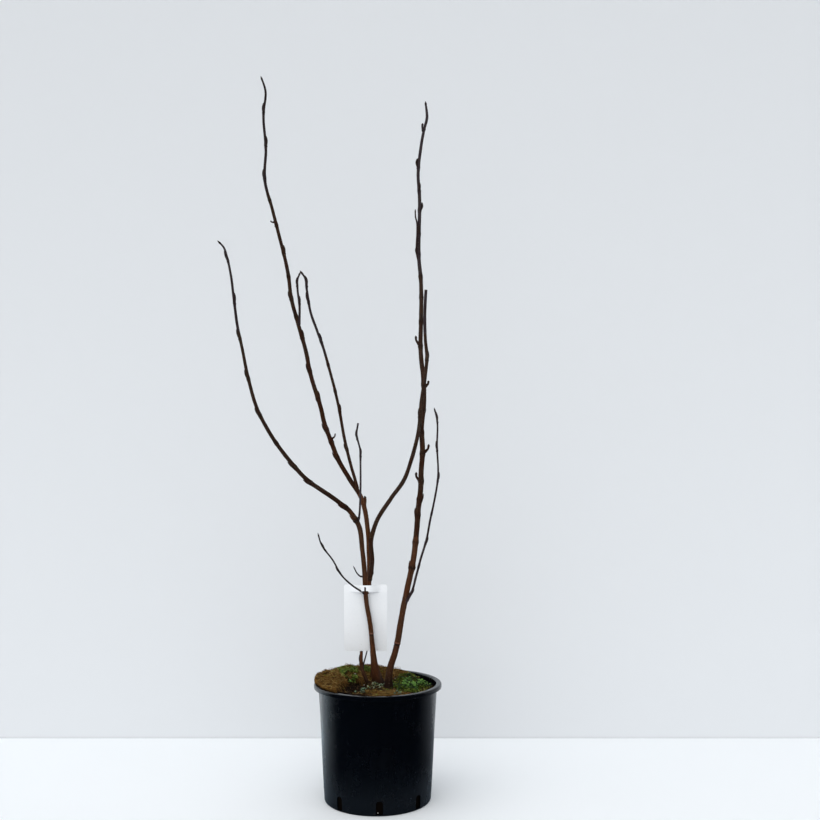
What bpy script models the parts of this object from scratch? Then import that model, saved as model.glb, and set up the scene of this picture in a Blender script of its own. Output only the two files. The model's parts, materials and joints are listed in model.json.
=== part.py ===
"""A potted oyama magnolia, bare in winter: a clump of slim stems with their boughs and twigs,
rooted in a filled black nursery pot, with a blank plant tag threaded on one stem.

The origin is the centre of the pot's flat underside, +Z is up and -Y faces the viewer.
Sizes are in centimetres and are turned into metres where a mesh is made."""

import math
import random

import bmesh
import bpy
import numpy as np

CM = 0.01
GAP = 0.03  # clear space between neighbouring solids

# Nursery pot
POT_HEIGHT = 23.7
FOOT_RADIUS = 10.9
WALL_TOP_RADIUS = 12.15
WALL = 0.2
FLOOR = 0.25
LIP_RADIUS = 13.1
LIP_HEIGHT = 0.9
POT_SIDES = 48
SLOT_COUNT = 8
SLOT_WIDTH = 1.35
SLOT_HEIGHT = 2.65
SLOT_FOOT = 0.3
SLOT_TURN = math.radians(3.6)  # how far the front slot is turned to the right

# Root ball, with a matted top that rises over the lip at the back left
GROUND = 23.15  # where the stems stand
MAT_RISE = 1.7
MAT_HIGH_SIDE = math.radians(150)
MAT_OVERHANG = 1.15
MAT_EDGE = 0.3  # rounding of the mat's rim
MAT_RINGS = (10.6, 9.2, 7.6, 6.0, 4.4, 2.6)
HOLLOW = (-4.3, -5.0, 2.6, 0.7)  # across, back, radius and depth of the dip in front of the stems
SINK_SIDE = math.radians(24)  # on this side the mat has sunk below the lip,
SINK_SPREAD = 0.7  # over this many radians to either side,
SINK_DEPTH = 1.6  # by this much beside the wall
SINK_REACH = 3.4  # and less and less up to this far from it
SHOULDER = 0.35  # height of the mat's edge above the line where it meets the wall
FOOT_LEVEL = 23.05  # flat cut of every stem, just under the ground's surface

# The plant is measured as it is seen from one spot in front of it. A place is given as how far
# across and how far up it looks on the upright plane through the pot's axis, and how far behind
# that plane it really lies.
EYE_DISTANCE = 194.7
EYE_ACROSS = 6.6
EYE_HEIGHT = 65.3

# Growth
INTERNODE = 6.0  # usual distance from one leaf node to the next
KNOT_SWELL = 0.18  # share of the radius that a node adds
KNOT_REACH = 0.55
BUD_LENGTH = 1.3
BUD_RADIUS = 0.25
BUD_SHARE = 0.45  # size of the lowest buds beside those at the tip
BUD_SINK = 0.8  # how far a node lies below its bud's tip, as a share of the bud's length
BUD_CLEAR = 0.8  # no bud grows nearer than this to the end of a limb
SPUR_RADII = (0.17, 0.12)
TIP_BUD = 0.9  # length of the pointed bud that ends a limb

# Fineness of the limbs
RING_STEP = 2.2
RING_CLEAR = 0.6  # even rings keep this far from those at a node
END_CLEAR = 0.3  # and those at a node this far from the limb's ends

# Plant tag
TAG_WIDTH = 9.0
TAG_THICKNESS = 0.06
TAG_BOTTOM = 29.4
TAG_SLOT_FOOT = 41.8
TAG_SLOT_TOP = 43.0
TAG_TOP = 43.45

# Colours
BLACK_PLASTIC = (0.012, 0.014, 0.018)
COMPOST = (0.09, 0.055, 0.025)
WHITE_CARD = (0.86, 0.88, 0.9)
STEM_BARK = (0.12, 0.058, 0.032)
BOUGH_BARK = (0.085, 0.04, 0.024)
TWIG_BARK = (0.055, 0.045, 0.035)


def at_ground(across, back):
    """The seen place of a point that lies back behind the pot's axis on the stems' flat cut."""
    return across, back, EYE_HEIGHT + (FOOT_LEVEL - EYE_HEIGHT) / (1 + back / EYE_DISTANCE)


def placed(seen):
    """Real points for seen ones: each moves along its own line of sight to its depth."""
    reach = 1 + seen[:, 1] / EYE_DISTANCE
    across = EYE_ACROSS + (seen[:, 0] - EYE_ACROSS) * reach
    up = EYE_HEIGHT + (seen[:, 2] - EYE_HEIGHT) * reach
    return np.column_stack((across, seen[:, 1], up))


def unit(vectors):
    return vectors / np.linalg.norm(vectors, axis=-1, keepdims=True)


def smooth_line(points, fine=24):
    """A fine polyline on a smooth curve through the points. Each span is a cubic, and its slope at
    an inner point is the mean of the slopes on both sides, weighted towards the shorter span."""
    points = np.array(points, float)
    span = np.linalg.norm(np.diff(points, axis=0), axis=1)[:, None]
    slope = np.diff(points, axis=0) / span
    inner = (slope[:-1] * span[1:] + slope[1:] * span[:-1]) / (span[:-1] + span[1:])
    slopes = np.vstack((slope[:1], inner, slope[-1:]))
    t = np.linspace(0, 1, fine, endpoint=False)[:, None]
    spans = [
        (1 + 2 * t) * (1 - t) ** 2 * a + t * (1 - t) ** 2 * length * slope_a
        + t * t * (3 - 2 * t) * b + t * t * (t - 1) * length * slope_b
        for a, b, slope_a, slope_b, length in zip(points, points[1:], slopes, slopes[1:], span)
    ]
    return np.vstack(spans + [points[-1:]])


class Axis:
    """One growing line of the plant, from its foot on the ground or in its parent limb to its tip.

    points    seen places that the centre line passes through
    thick     thickness at the foot and at the tip
    bulk      how late it thins: 1 is an even taper, more keeps the lower part thick
    nodes     seen heights of the buds' tips that show in profile, the left-facing ones below zero
    spurs     seen height, reach and length of each short side twig, the left-facing with reach below zero
    flare     what the root flare adds to the radius at the foot, and its height"""

    def __init__(self, points, thick, bulk=1.0, nodes=(), spurs=(), flare=(0.0, 1.0), cut_tip=False):
        seen = smooth_line(points)
        self.line = placed(seen)
        steps = np.linalg.norm(np.diff(self.line, axis=0), axis=1)
        self.along = np.concatenate(([0], np.cumsum(steps)))
        self.length = self.along[-1]
        self.seen_height = seen[:, 2]
        self.slope = unit(np.gradient(self.line, self.along, axis=0))
        self.thick, self.bulk, self.flare, self.cut_tip = thick, bulk, flare, cut_tip
        self.spurs = [(self.station(height), reach, length) for height, reach, length in spurs]
        tips = [(self.station(abs(height)), height > 0) for height in nodes]
        sink = BUD_SINK * BUD_LENGTH
        self.nodes = self.grow_nodes([(s - sink * self.bud_size(s), right) for s, right in tips])

    def station(self, seen_height):
        """How far along the line a seen height lies."""
        return float(np.interp(seen_height, self.seen_height, self.along))

    def bud_size(self, station):
        """Size of a bud beside the largest: buds are plumper towards the tip."""
        return BUD_SHARE + (1 - BUD_SHARE) * station / self.length

    def grow_nodes(self, seen_nodes):
        """Every node as its station and the angle it faces. Those seen in profile face right (0) or
        left (half a turn). Where two lie far apart, more between them face front and back by turns."""
        rng = random.Random(round(self.length * 100))
        nodes = [(s, (0 if right else math.pi) + rng.uniform(-0.4, 0.4)) for s, right in seen_nodes]
        for (low, _), (high, _) in zip(seen_nodes, seen_nodes[1:]):
            count = round((high - low) / INTERNODE)
            for i in range(1, count):
                station = low + (high - low) * (i + rng.uniform(-0.12, 0.12)) / count
                nodes.append((station, (-1) ** i * math.pi / 2 + rng.uniform(-0.5, 0.5)))
        return sorted(nodes)

    def centre(self, stations):
        return np.column_stack([np.interp(stations, self.along, self.line[:, k]) for k in range(3)])

    def direction(self, stations):
        return unit(np.column_stack([np.interp(stations, self.along, self.slope[:, k]) for k in range(3)]))

    def radius(self, stations):
        """Half the tapering thickness, with the root flare and a swelling at each node."""
        share = np.clip(np.asarray(stations, float) / self.length, 0, 1)
        foot, tip = self.thick
        radius = (tip + (foot - tip) * (1 - share ** self.bulk)) / 2
        swell = sum((np.exp(-((stations - s) / KNOT_REACH) ** 2) for s, _ in self.nodes), 0 * share)
        added, height = self.flare
        return radius * (1 + KNOT_SWELL * swell) + added * np.exp(-np.asarray(stations) / height)

    def outward(self, stations, angles):
        """Unit vectors square to the line: angle 0 points right and a quarter turn points back."""
        along = self.direction(stations)
        right = unit(np.cross((0.0, 1.0, 0.0), along))
        back = np.cross(along, right)
        angles = np.asarray(angles)[..., None]
        return right * np.cos(angles) + back * np.sin(angles)

    def rings(self, start, end, sides, grow=0.0):
        """Cross-sections from start to end: evenly spaced, with three across each node. A ring that
        stands on the ground is level. grow makes the shape that much larger on every side."""
        steps = max(2, round((end - start) / RING_STEP))
        knots = [s + offset for s, _ in self.nodes for offset in (-KNOT_REACH, 0, KNOT_REACH)]
        knots = np.array([s for s in knots if start + END_CLEAR < s < end - END_CLEAR])
        even = np.linspace(start, end, steps + 1)
        if len(knots):
            clear = np.min(np.abs(even[:, None] - knots), axis=1) > RING_CLEAR
            clear[[0, -1]] = True
            even = even[clear]
        stations = np.sort(np.concatenate((even, knots)))
        pointed = end >= self.length and not self.cut_tip
        if pointed:
            bud = self.length - TIP_BUD
            stations = np.concatenate((stations[stations < bud - END_CLEAR], (bud, bud + TIP_BUD * 0.4)))
        centres = self.centre(stations)
        radii = self.radius(stations) + grow / math.cos(math.pi / sides)
        if pointed:
            radii[-1] *= 1.1
        centres[0] -= self.direction(stations[:1])[0] * grow
        centres[-1] += self.direction(stations[-1:])[0] * grow
        angles = 2 * math.pi * np.arange(sides) / sides
        rings = np.stack([centres + radii[:, None] * self.outward(stations, a) for a in angles], axis=1)
        if start <= 0 and self.flare[0]:
            rings[0, :, 2] = FOOT_LEVEL - grow
        return rings, (self.line[-1] if pointed else None)


def new_object(name, vertices, faces):
    """A mesh object of this name, from points in centimetres."""
    mesh = bpy.data.meshes.new(name)
    mesh.from_pydata((np.asarray(vertices) * CM).tolist(), [], faces)
    mesh.update()
    made = bpy.data.objects.new(name, mesh)
    bpy.context.scene.collection.objects.link(made)
    return made


def skin(name, rings, point=None):
    """A closed surface over a row of rings, with flat ends or with its last ring drawn to a point."""
    count, sides = rings.shape[:2]
    vertices = rings.reshape(-1, 3)
    faces = [
        (i * sides + j, i * sides + (j + 1) % sides, (i + 1) * sides + (j + 1) % sides, (i + 1) * sides + j)
        for i in range(count - 1)
        for j in range(sides)
    ]
    faces.append(tuple(reversed(range(sides))))
    last = (count - 1) * sides
    if point is None:
        faces.append(tuple(range(last, last + sides)))
    else:
        vertices = np.vstack((vertices, point))
        faces += [(last + j, last + (j + 1) % sides, last + sides) for j in range(sides)]
    return new_object(name, vertices, faces)


def combine(target, others, operation):
    """Joins the others to the target, or cuts them out of it, and removes them."""
    group = bpy.data.collections.new("pieces")
    for other in others:
        group.objects.link(other)
    boolean = target.modifiers.new("Combine", "BOOLEAN")
    boolean.operation = operation
    boolean.solver = "EXACT"
    boolean.operand_type = "COLLECTION"
    boolean.collection = group
    view = bpy.context.evaluated_depsgraph_get()
    result = bpy.data.meshes.new_from_object(target.evaluated_get(view))
    target.modifiers.clear()
    target.data = result
    for other in others:
        bpy.data.objects.remove(other)
    bpy.data.collections.remove(group)
    return target


def finish(target, colour, roughness, sharp=50):
    """Gives the object its own material and smooth shading."""
    surface = bpy.data.materials.new(target.name)
    surface.use_nodes = True
    shader = surface.node_tree.nodes["Principled BSDF"]
    shader.inputs["Base Color"].default_value = (*colour, 1)
    shader.inputs["Roughness"].default_value = roughness
    shader.inputs["Metallic"].default_value = 0.0
    target.data.materials.clear()
    target.data.materials.append(surface)
    target.data.shade_smooth()
    target.data.set_sharp_from_angle(angle=math.radians(sharp))
    return target


def small_bud(axis, station, angle):
    """A bud that lies up along the limb from a node, its foot sunk in."""
    length, radius = BUD_LENGTH * axis.bud_size(station), BUD_RADIUS * axis.bud_size(station)
    stations = np.array([station])
    out = axis.outward(stations, angle)[0]
    up = axis.direction(stations)[0]
    foot = axis.centre(stations)[0] + out * (axis.radius(stations)[0] - radius * 0.6)
    lean = unit(up + out * 0.3)
    side = unit(np.cross(lean, out))
    across = np.cross(side, lean)
    angles = 2 * math.pi * np.arange(4) / 4
    ring = np.outer(np.cos(angles), side) + np.outer(np.sin(angles), across)
    sizes = ((-0.35, 0.6), (0.25, 1.0), (0.7, 0.75))
    rings = np.array([foot + lean * length * rise + ring * radius * width for rise, width in sizes])
    return skin("bud", rings, foot + lean * length)


def spur(axis, station, reach, length):
    """A short side twig that leaves the limb at a slant and bends up along it."""
    stations = np.array([station])
    out = axis.outward(stations, 0.0 if reach > 0 else math.pi)[0]
    up = axis.direction(stations)[0]
    foot = axis.centre(stations)[0]
    radius = axis.radius(stations)[0]
    middle = foot + out * (radius + 0.7 * abs(reach)) + up * 0.4 * length
    tip = foot + out * (radius + abs(reach)) + up * length
    line = smooth_line((foot, middle, tip), 2)
    radii = np.linspace(*SPUR_RADII, len(line) - 1)[:, None, None]
    along = unit(np.gradient(line, axis=0))[:-1]
    right = unit(np.cross((0.0, 1.0, 0.0), along))
    back = np.cross(along, right)
    angles = 2 * math.pi * np.arange(5) / 5
    circle = right[:, None] * np.cos(angles)[:, None] + back[:, None] * np.sin(angles)[:, None]
    return skin("spur", line[:-1, None] + radii * circle, tip)


class Limb:
    """One piece of an axis, cut square at both ends, with its buds and spurs fused on."""

    def __init__(self, name, axis, start, end, sides):
        self.name, self.axis, self.start, self.end, self.sides = name, axis, start, end, sides
        bits = [small_bud(axis, s, a) for s, a in axis.nodes if start + BUD_CLEAR < s < end - BUD_CLEAR]
        bits += [spur(axis, s, *size) for s, *size in axis.spurs if start + END_CLEAR < s < end - END_CLEAR]
        self.made = skin(name, *axis.rings(start, end, sides))
        if bits:
            combine(self.made, bits, "UNION")

    def cutter(self):
        """The limb's plain outline, larger by the gap all round."""
        return skin("cutter", *self.axis.rings(self.start, self.end, self.sides, GAP))


def limbs_of(axis, pieces):
    """Cuts an axis into its named pieces, a gap apart. Each piece gives its name, the seen height
    where it ends and the number of sides of its cross-section."""
    made = []
    start = 0.0
    for name, top, sides in pieces:
        end = axis.length if top is None else axis.station(top)
        trimmed = end if top is None else end - GAP / 2
        made.append(Limb(name, axis, start + (GAP / 2 if start else 0), trimmed, sides))
        start = end
    return {limb.name: limb for limb in made}


def drop_scraps(target):
    """Leaves only the largest of the loose bodies in a mesh."""
    shape = bmesh.new()
    shape.from_mesh(target.data)
    left = set(shape.verts)
    bodies = []
    while left:
        front = {left.pop()}
        body = set(front)
        while front:
            front = {edge.other_vert(v) for v in front for edge in v.link_edges} - body
            body |= front
        left -= body
        bodies.append(body)
    bodies.sort(key=len)
    scraps = [v for body in bodies[:-1] for v in body]
    bmesh.ops.delete(shape, geom=scraps, context="VERTS")
    shape.to_mesh(target.data)
    shape.free()
    return target


def cut_clear(target, limbs):
    """Takes the gap round each of these limbs out of the target."""
    return drop_scraps(combine(target, [limb.cutter() for limb in limbs], "DIFFERENCE"))


def left_axis():
    """Leans left and forward, turns out at an elbow, and sweeps up again past a wide bend."""
    return Axis(
        points=(
            at_ground(0.15, 3.3), (-0.4, 3.1, 25.8), (-1.0, 2.8, 30.1), (-1.4, 2.4, 34.2),
            (-2.5, 1.6, 41.4), (-2.8, 1.1, 46.8), (-3.2, 0.5, 50.9), (-4.1, -0.4, 56.2),
            (-5.9, -1.2, 58.9), (-7.8, -1.7, 60.5), (-11.8, -2.5, 63.3), (-14.0, -3.0, 64.8),
            (-18.1, -3.8, 69.1), (-22.1, -4.9, 74.6), (-24.9, -5.9, 79.9), (-26.7, -6.9, 85.9),
            (-28.1, -8.0, 92.6), (-29.0, -8.6, 96.8), (-29.9, -9.6, 103.4), (-30.5, -10.5, 108.0),
            (-31.3, -11.1, 111.6), (-32.0, -11.9, 113.6), (-33.3, -12.4, 115.0),
        ),
        thick=(0.98, 0.34), bulk=1.3, flare=(1.1, 2.9),
        nodes=(-57.6, -60.1, -65.2, -68.6, -79.5, -87.2, -95.6, 103.0, -111.8),
    )


def middle_axis():
    """The tallest line: nearly upright behind the left stem, then a long bough to the upper left."""
    return Axis(
        points=(
            at_ground(-0.8, 5.9), (-1.0, 5.7, 28.2), (-1.8, 5.1, 43.7), (-1.8, 5.0, 48.8),
            (-2.1, 5.0, 55.0), (-2.7, 5.0, 59.1), (-3.3, 5.1, 61.2), (-5.8, 5.3, 65.3),
            (-8.2, 5.7, 69.4), (-9.8, 6.1, 73.5), (-10.9, 6.5, 76.4), (-11.7, 7.0, 79.7),
            (-14.2, 8.3, 88.2), (-14.6, 8.6, 90.5), (-16.1, 9.0, 96.1), (-17.8, 9.6, 102.2),
            (-18.7, 10.5, 108.5), (-20.2, 11.3, 114.7), (-21.8, 11.5, 120.9), (-23.4, 11.5, 127.1),
            (-23.2, 10.8, 133.3), (-23.7, 9.9, 141.0), (-23.3, 9.6, 145.6), (-24.3, 9.0, 148.8),
        ),
        thick=(1.02, 0.32), bulk=2.0, flare=(0.5, 2.0),
        nodes=(-70.4, 73.7, -76.2, 82.6, -88.4, 95.2, -103.4, 112.7, -118.6, -128.4, 135.2, -142.2),
        spurs=((59.6, 0.12, 2.4), (73.5, 0.8, 0.9), (118.4, -0.6, 0.6)),
    )


def inner_axis():
    """Rises from the middle stem's fork and comes forward beside the tall bough."""
    return Axis(
        points=(
            (-4.0, 5.0, 62.3), (-4.7, 4.6, 65.3), (-5.4, 4.0, 67.6), (-6.8, 1.7, 73.3),
            (-8.4, -1.8, 81.8), (-10.0, -4.5, 88.0), (-11.2, -6.3, 92.3), (-12.6, -8.3, 96.2),
            (-14.0, -10.3, 100.3), (-14.7, -12.0, 104.4), (-15.2, -13.1, 107.4), (-16.2, -13.8, 108.8),
        ),
        thick=(0.64, 0.36), bulk=1.5, nodes=(-72.1, 80.1, 94.7, -103.2, 106.7),
    )


def cross_axis():
    """Leaves the middle stem low down, swings out to the right and crosses before the right stem."""
    return Axis(
        points=(
            (-1.7, 5.0, 44.5), (-1.2, 4.2, 48.4), (-1.4, 4.0, 52.7), (-0.2, 3.8, 56.8),
            (2.7, 3.5, 61.4), (5.3, 3.1, 65.1), (6.9, 2.3, 69.4), (8.4, 1.1, 75.6),
            (9.0, 0.4, 81.8), (9.7, 0.0, 86.3), (10.1, -0.4, 90.6), (9.8, -1.1, 94.1),
            (9.7, -2.9, 100.3), (9.9, -4.3, 104.6),
        ),
        thick=(0.92, 0.5), nodes=(-79.1, 91.0), cut_tip=True,
    )


def right_axis():
    """The stoutest stem: leans right from its own foot and runs up and back to the second top."""
    return Axis(
        points=(
            at_ground(2.2, -3.3), (2.4, -3.2, 26.0), (3.7, -3.0, 30.3), (4.8, -2.6, 36.5),
            (6.0, -2.0, 42.6), (7.3, -1.3, 48.8), (8.0, -0.6, 55.0), (8.3, -0.1, 59.1),
            (8.7, 0.5, 62.2), (9.0, 1.4, 68.2), (9.2, 2.0, 71.1), (9.0, 3.0, 75.6),
            (9.5, 4.4, 81.8), (9.4, 5.4, 85.6), (8.8, 7.1, 92.0), (8.9, 8.8, 98.3),
            (8.9, 11.1, 105.5), (8.4, 13.3, 112.0), (8.5, 14.4, 116.8), (8.6, 15.5, 123.0),
            (8.3, 16.4, 128.6), (8.8, 16.9, 133.3), (9.5, 17.1, 137.4), (10.1, 17.1, 139.8),
            (9.8, 17.1, 143.4),
        ),
        thick=(1.24, 0.38), bulk=1.2, flare=(0.45, 1.8),
        nodes=(-47.8, -58.7, 61.8, -65.7, 71.3, 85.5, -93.5, -111.0, 121.6, -130.0),
        spurs=(
            (65.0, -0.3, 1.9), (70.8, 0.5, 2.0), (84.4, 0.4, 1.4), (93.0, -0.35, 2.2),
            (137.0, -0.3, 1.9),
        ),
    )


def right_side_twig():
    """Starts at the right bough's knot and runs close beside it on its left."""
    return Axis(
        points=((8.4, 12.7, 110.4), (7.9, 13.1, 112.0), (7.9, 14.0, 117.0), (7.7, 14.3, 119.3),
                (7.7, 14.6, 121.1)),
        thick=(0.4, 0.24),
    )


def right_shoot_axis():
    """A long thin shoot from the foot of the right stem, outwards and forward."""
    return Axis(
        points=(
            (5.3, -2.3, 39.2), (6.3, -2.8, 40.9), (7.1, -3.4, 42.6), (7.8, -4.1, 45.2),
            (8.7, -5.1, 48.6), (10.1, -6.6, 53.4), (10.8, -8.0, 57.2), (11.5, -9.0, 60.4),
            (12.4, -10.4, 66.1), (12.2, -11.7, 72.5), (12.2, -12.6, 77.8), (11.6, -13.2, 80.4),
        ),
        thick=(0.5, 0.3), nodes=(42.4, 52.9, 66.1, -72.5, 78.5),
    )


def low_shoot_axis():
    """Leaves the left stem just under the tag and arches out to the left."""
    return Axis(
        points=(
            (-2.4, 1.5, 41.5), (-3.3, 0.9, 42.2), (-5.1, 0.0, 43.4), (-7.2, -0.9, 45.3),
            (-9.4, -2.0, 48.9), (-11.7, -3.1, 52.1), (-12.4, -3.7, 54.4),
        ),
        thick=(0.36, 0.28), nodes=(-46.8, 51.6),
    )


def short_spur_axis():
    """A short curved twig on the left stem, just above the tag."""
    points = ((-2.7, 1.2, 45.4), (-3.6, 0.8, 45.4), (-4.1, 0.6, 45.8), (-5.1, 0.2, 47.6))
    return Axis(points, thick=(0.32, 0.2))


def centre_shoot_axis():
    """A thin grey shoot that stands up from the left stem's elbow and ends in a cut."""
    return Axis(
        points=(
            (-4.1, -0.5, 56.4), (-3.8, -1.0, 58.2), (-3.7, -1.2, 60.0), (-3.6, -2.0, 68.4),
            (-3.7, -2.3, 71.6), (-4.4, -2.6, 74.8), (-4.1, -2.8, 77.0),
        ),
        thick=(0.36, 0.32), nodes=(71.1, -74.8), cut_tip=True,
    )


def inner_shoot_axis():
    """A short shoot from the tall bough that keeps close to it on its right."""
    return Axis(
        points=((-16.3, 8.9, 97.0), (-16.2, 8.1, 98.8), (-16.2, 7.5, 101.2), (-16.6, 6.5, 104.4),
                (-16.6, 5.8, 106.6), (-16.0, 5.2, 108.2)),
        thick=(0.52, 0.34), nodes=(102.4, -106.3),
    )


def base_stub_axis():
    """An old stub with a flat cut top, left of the clump's foot."""
    return Axis(
        points=(at_ground(-2.1, 2.6), (-2.7, 2.5, 24.9), (-3.3, 2.3, 26.6), (-3.4, 2.4, 30.0)),
        thick=(0.72, 0.58), flare=(0.12, 1.0), nodes=(-28.5,), cut_tip=True,
    )


def base_twig_axis():
    """A thin dry twig on the stub that runs up behind the tag."""
    points = ((-3.1, 2.35, 26.4), (-2.9, 3.1, 27.5), (-2.6, 3.9, 28.6), (-2.2, 4.6, 30.2), (-2.0, 4.8, 31.9))
    return Axis(points, thick=(0.3, 0.22))


def grow_plant():
    """Every limb and twig, with each side branch cut clear of the limbs that carry it."""
    limbs = {}
    limbs |= limbs_of(left_axis(), (
        ("stem_left", 59.0, 10), ("left_bough_lower", 66.9, 8), ("left_bough_upper", 96.2, 8),
        ("left_leader", None, 6)))
    limbs |= limbs_of(middle_axis(), (
        ("stem_middle", 62.9, 10), ("tall_bough_lower", 92.0, 8), ("tall_bough_upper", 124.6, 8),
        ("tall_leader", None, 6)))
    limbs |= limbs_of(right_axis(), (
        ("stem_right", 53.5, 10), ("right_bough_lower", 89.5, 8), ("right_bough_upper", 107.4, 8),
        ("right_leader", None, 7)))
    limbs |= limbs_of(inner_axis(), (("inner_bough", 91.0, 8), ("inner_leader", None, 6)))
    limbs |= limbs_of(cross_axis(), (
        ("cross_bough_lower", 65.1, 8), ("cross_bough_upper", 95.5, 8), ("cross_leader", None, 6)))
    limbs |= limbs_of(right_shoot_axis(), (("right_shoot_lower", 60.4, 6), ("right_shoot_upper", None, 6)))
    limbs |= limbs_of(base_stub_axis(), (("base_stub", None, 8),))
    shoots = (
        ("low_shoot", low_shoot_axis(), ("stem_left",)),
        ("short_spur", short_spur_axis(), ("stem_left",)),
        ("centre_shoot", centre_shoot_axis(), ("stem_left", "left_bough_lower")),
        ("inner_shoot", inner_shoot_axis(), ("tall_bough_upper",)),
        ("base_twig", base_twig_axis(), ("base_stub",)),
    )
    twig = right_side_twig()
    combine(limbs["right_leader"].made, [skin("twig", *twig.rings(0, twig.length, 5))], "UNION")
    for name, axis, _ in shoots:
        limbs |= limbs_of(axis, ((name, None, 6),))
    for name, _, parents in shoots:
        cut_clear(limbs[name].made, [limbs[parent] for parent in parents])
    cut_clear(limbs["inner_bough"].made, [limbs["stem_middle"], limbs["tall_bough_lower"]])
    cut_clear(limbs["cross_bough_lower"].made, [limbs["stem_middle"]])
    cut_clear(limbs["right_shoot_lower"].made, [limbs["stem_right"]])
    return limbs


def wall_radius(height):
    """Outer radius of the pot's wall, which widens evenly from foot to lip."""
    share = height / (POT_HEIGHT - LIP_HEIGHT)
    return FOOT_RADIUS + (WALL_TOP_RADIUS - FOOT_RADIUS) * share


def nursery_pot():
    """The pot: a turned wall with a rolled lip, and drain slots through the foot of the wall."""
    under_lip = POT_HEIGHT - LIP_HEIGHT
    inner_top = wall_radius(under_lip) - WALL
    profile = (
        (0, 0), (FOOT_RADIUS - 0.35, 0), (FOOT_RADIUS - 0.1, 0.1), (wall_radius(0.35), 0.35),
        (wall_radius(under_lip), under_lip), (LIP_RADIUS - 0.3, under_lip + 0.05),
        (LIP_RADIUS - 0.05, under_lip + 0.2), (LIP_RADIUS, POT_HEIGHT - 0.45),
        (LIP_RADIUS - 0.1, POT_HEIGHT - 0.15), (LIP_RADIUS - 0.35, POT_HEIGHT),
        (LIP_RADIUS - 0.7, POT_HEIGHT), (inner_top + 0.05, POT_HEIGHT - 0.25),
        (inner_top, under_lip), (wall_radius(FLOOR) - WALL, FLOOR), (0, FLOOR),
    )
    mesh = bpy.data.meshes.new("pot")
    turned = bmesh.new()
    points = [turned.verts.new((radius * CM, 0, height * CM)) for radius, height in profile]
    edges = [turned.edges.new(pair) for pair in zip(points, points[1:])]
    bmesh.ops.spin(turned, geom=points + edges, axis=(0, 0, 1), cent=(0, 0, 0), angle=2 * math.pi,
                   steps=POT_SIDES, use_merge=True)
    bmesh.ops.remove_doubles(turned, verts=turned.verts, dist=1e-6)
    bmesh.ops.recalc_face_normals(turned, faces=turned.faces)
    turned.to_mesh(mesh)
    turned.free()
    pot = bpy.data.objects.new("pot", mesh)
    bpy.context.scene.collection.objects.link(pot)
    return combine(pot, [drain_slot(i) for i in range(SLOT_COUNT)], "DIFFERENCE")


def drain_slot(index):
    """A box through the foot of the wall, one of a ring that starts at the front."""
    turn = 2 * math.pi * index / SLOT_COUNT - math.pi / 2 + SLOT_TURN
    out = np.array((math.cos(turn), math.sin(turn), 0))
    side = np.array((-math.sin(turn), math.cos(turn), 0))
    inner, outer = FOOT_RADIUS - 1.0, FOOT_RADIUS + 1.0
    corners = ((inner, -0.5), (outer, -0.5), (outer, 0.5), (inner, 0.5))
    base = np.array([out * reach + side * SLOT_WIDTH * share for reach, share in corners])
    lift = np.array((0, 0, 1))
    return skin("slot", np.array((base + lift * SLOT_FOOT, base + lift * (SLOT_FOOT + SLOT_HEIGHT))))


def mat_share(turn):
    """From 0 at the front right to 1 at the back left, where the mat is highest."""
    return 0.5 + 0.5 * np.cos(turn - MAT_HIGH_SIDE)


def ground_height(x, y):
    """Level of the root ball's top: it rises towards its edge on the high side, dips into a hollow
    in front of the stems, has sunk beside the wall at the right, and is slightly lumpy away from
    the stems."""
    reach = np.hypot(x, y)
    turn = np.arctan2(y, x)
    edge = np.clip((reach - 4.5) / 6.0, 0, 1)
    edge = edge * edge * (3 - 2 * edge)
    across, back, radius, depth = HOLLOW
    dip = depth * np.exp(-((x - across) ** 2 + (y - back) ** 2) / radius ** 2)
    lumps = 0.12 * np.sin(1.3 * x + 0.7 * y) * np.cos(1.1 * y - 0.5 * x) * edge
    near_wall = np.clip((reach - WALL_TOP_RADIUS + SINK_REACH) / SINK_REACH, 0, 1)
    sunk = SINK_DEPTH * np.exp(-((turn - SINK_SIDE) / SINK_SPREAD) ** 2) * near_wall ** 1.5
    return GROUND + MAT_RISE * mat_share(turn) * edge - dip - sunk + lumps


def root_ball(stems):
    """The fill of the pot: it follows the wall inside, and its matted top hangs over the lip on the
    high side. Each stem stands in a socket that fits it."""
    turn = 2 * math.pi * np.arange(POT_SIDES) / POT_SIDES
    wall_top = POT_HEIGHT - LIP_HEIGHT
    bottom = FLOOR + GAP
    overhang = MAT_OVERHANG * np.clip((mat_share(turn) - 0.55) / 0.35, 0, 1)
    reach = wall_radius(wall_top) - WALL - GAP + overhang
    rim_top = ground_height(reach * np.cos(turn), reach * np.sin(turn))
    side_top = np.minimum(wall_top, rim_top - SHOULDER)
    inner = wall_radius(side_top) - WALL - GAP
    above_lip = rim_top - 0.25 > POT_HEIGHT + GAP
    rim = inner + overhang * above_lip
    shoulder = np.clip(rim_top - 0.25, side_top + 0.1, POT_HEIGHT + GAP)

    def ring(reach, height):
        return np.column_stack((reach * np.cos(turn), reach * np.sin(turn), height + 0 * turn))

    rings = [
        ring(wall_radius(bottom) - WALL - GAP, bottom), ring(inner, side_top),
        ring(inner - 0.04, shoulder), ring(rim - 0.02, shoulder + 0.01), ring(rim - MAT_EDGE, rim_top),
    ]
    for reach in MAT_RINGS:
        rings.append(ring(reach, ground_height(reach * np.cos(turn), reach * np.sin(turn))))
    fill = skin("root_ball", np.array(rings), (0, 0, GROUND))
    return cut_clear(fill, stems)


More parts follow.
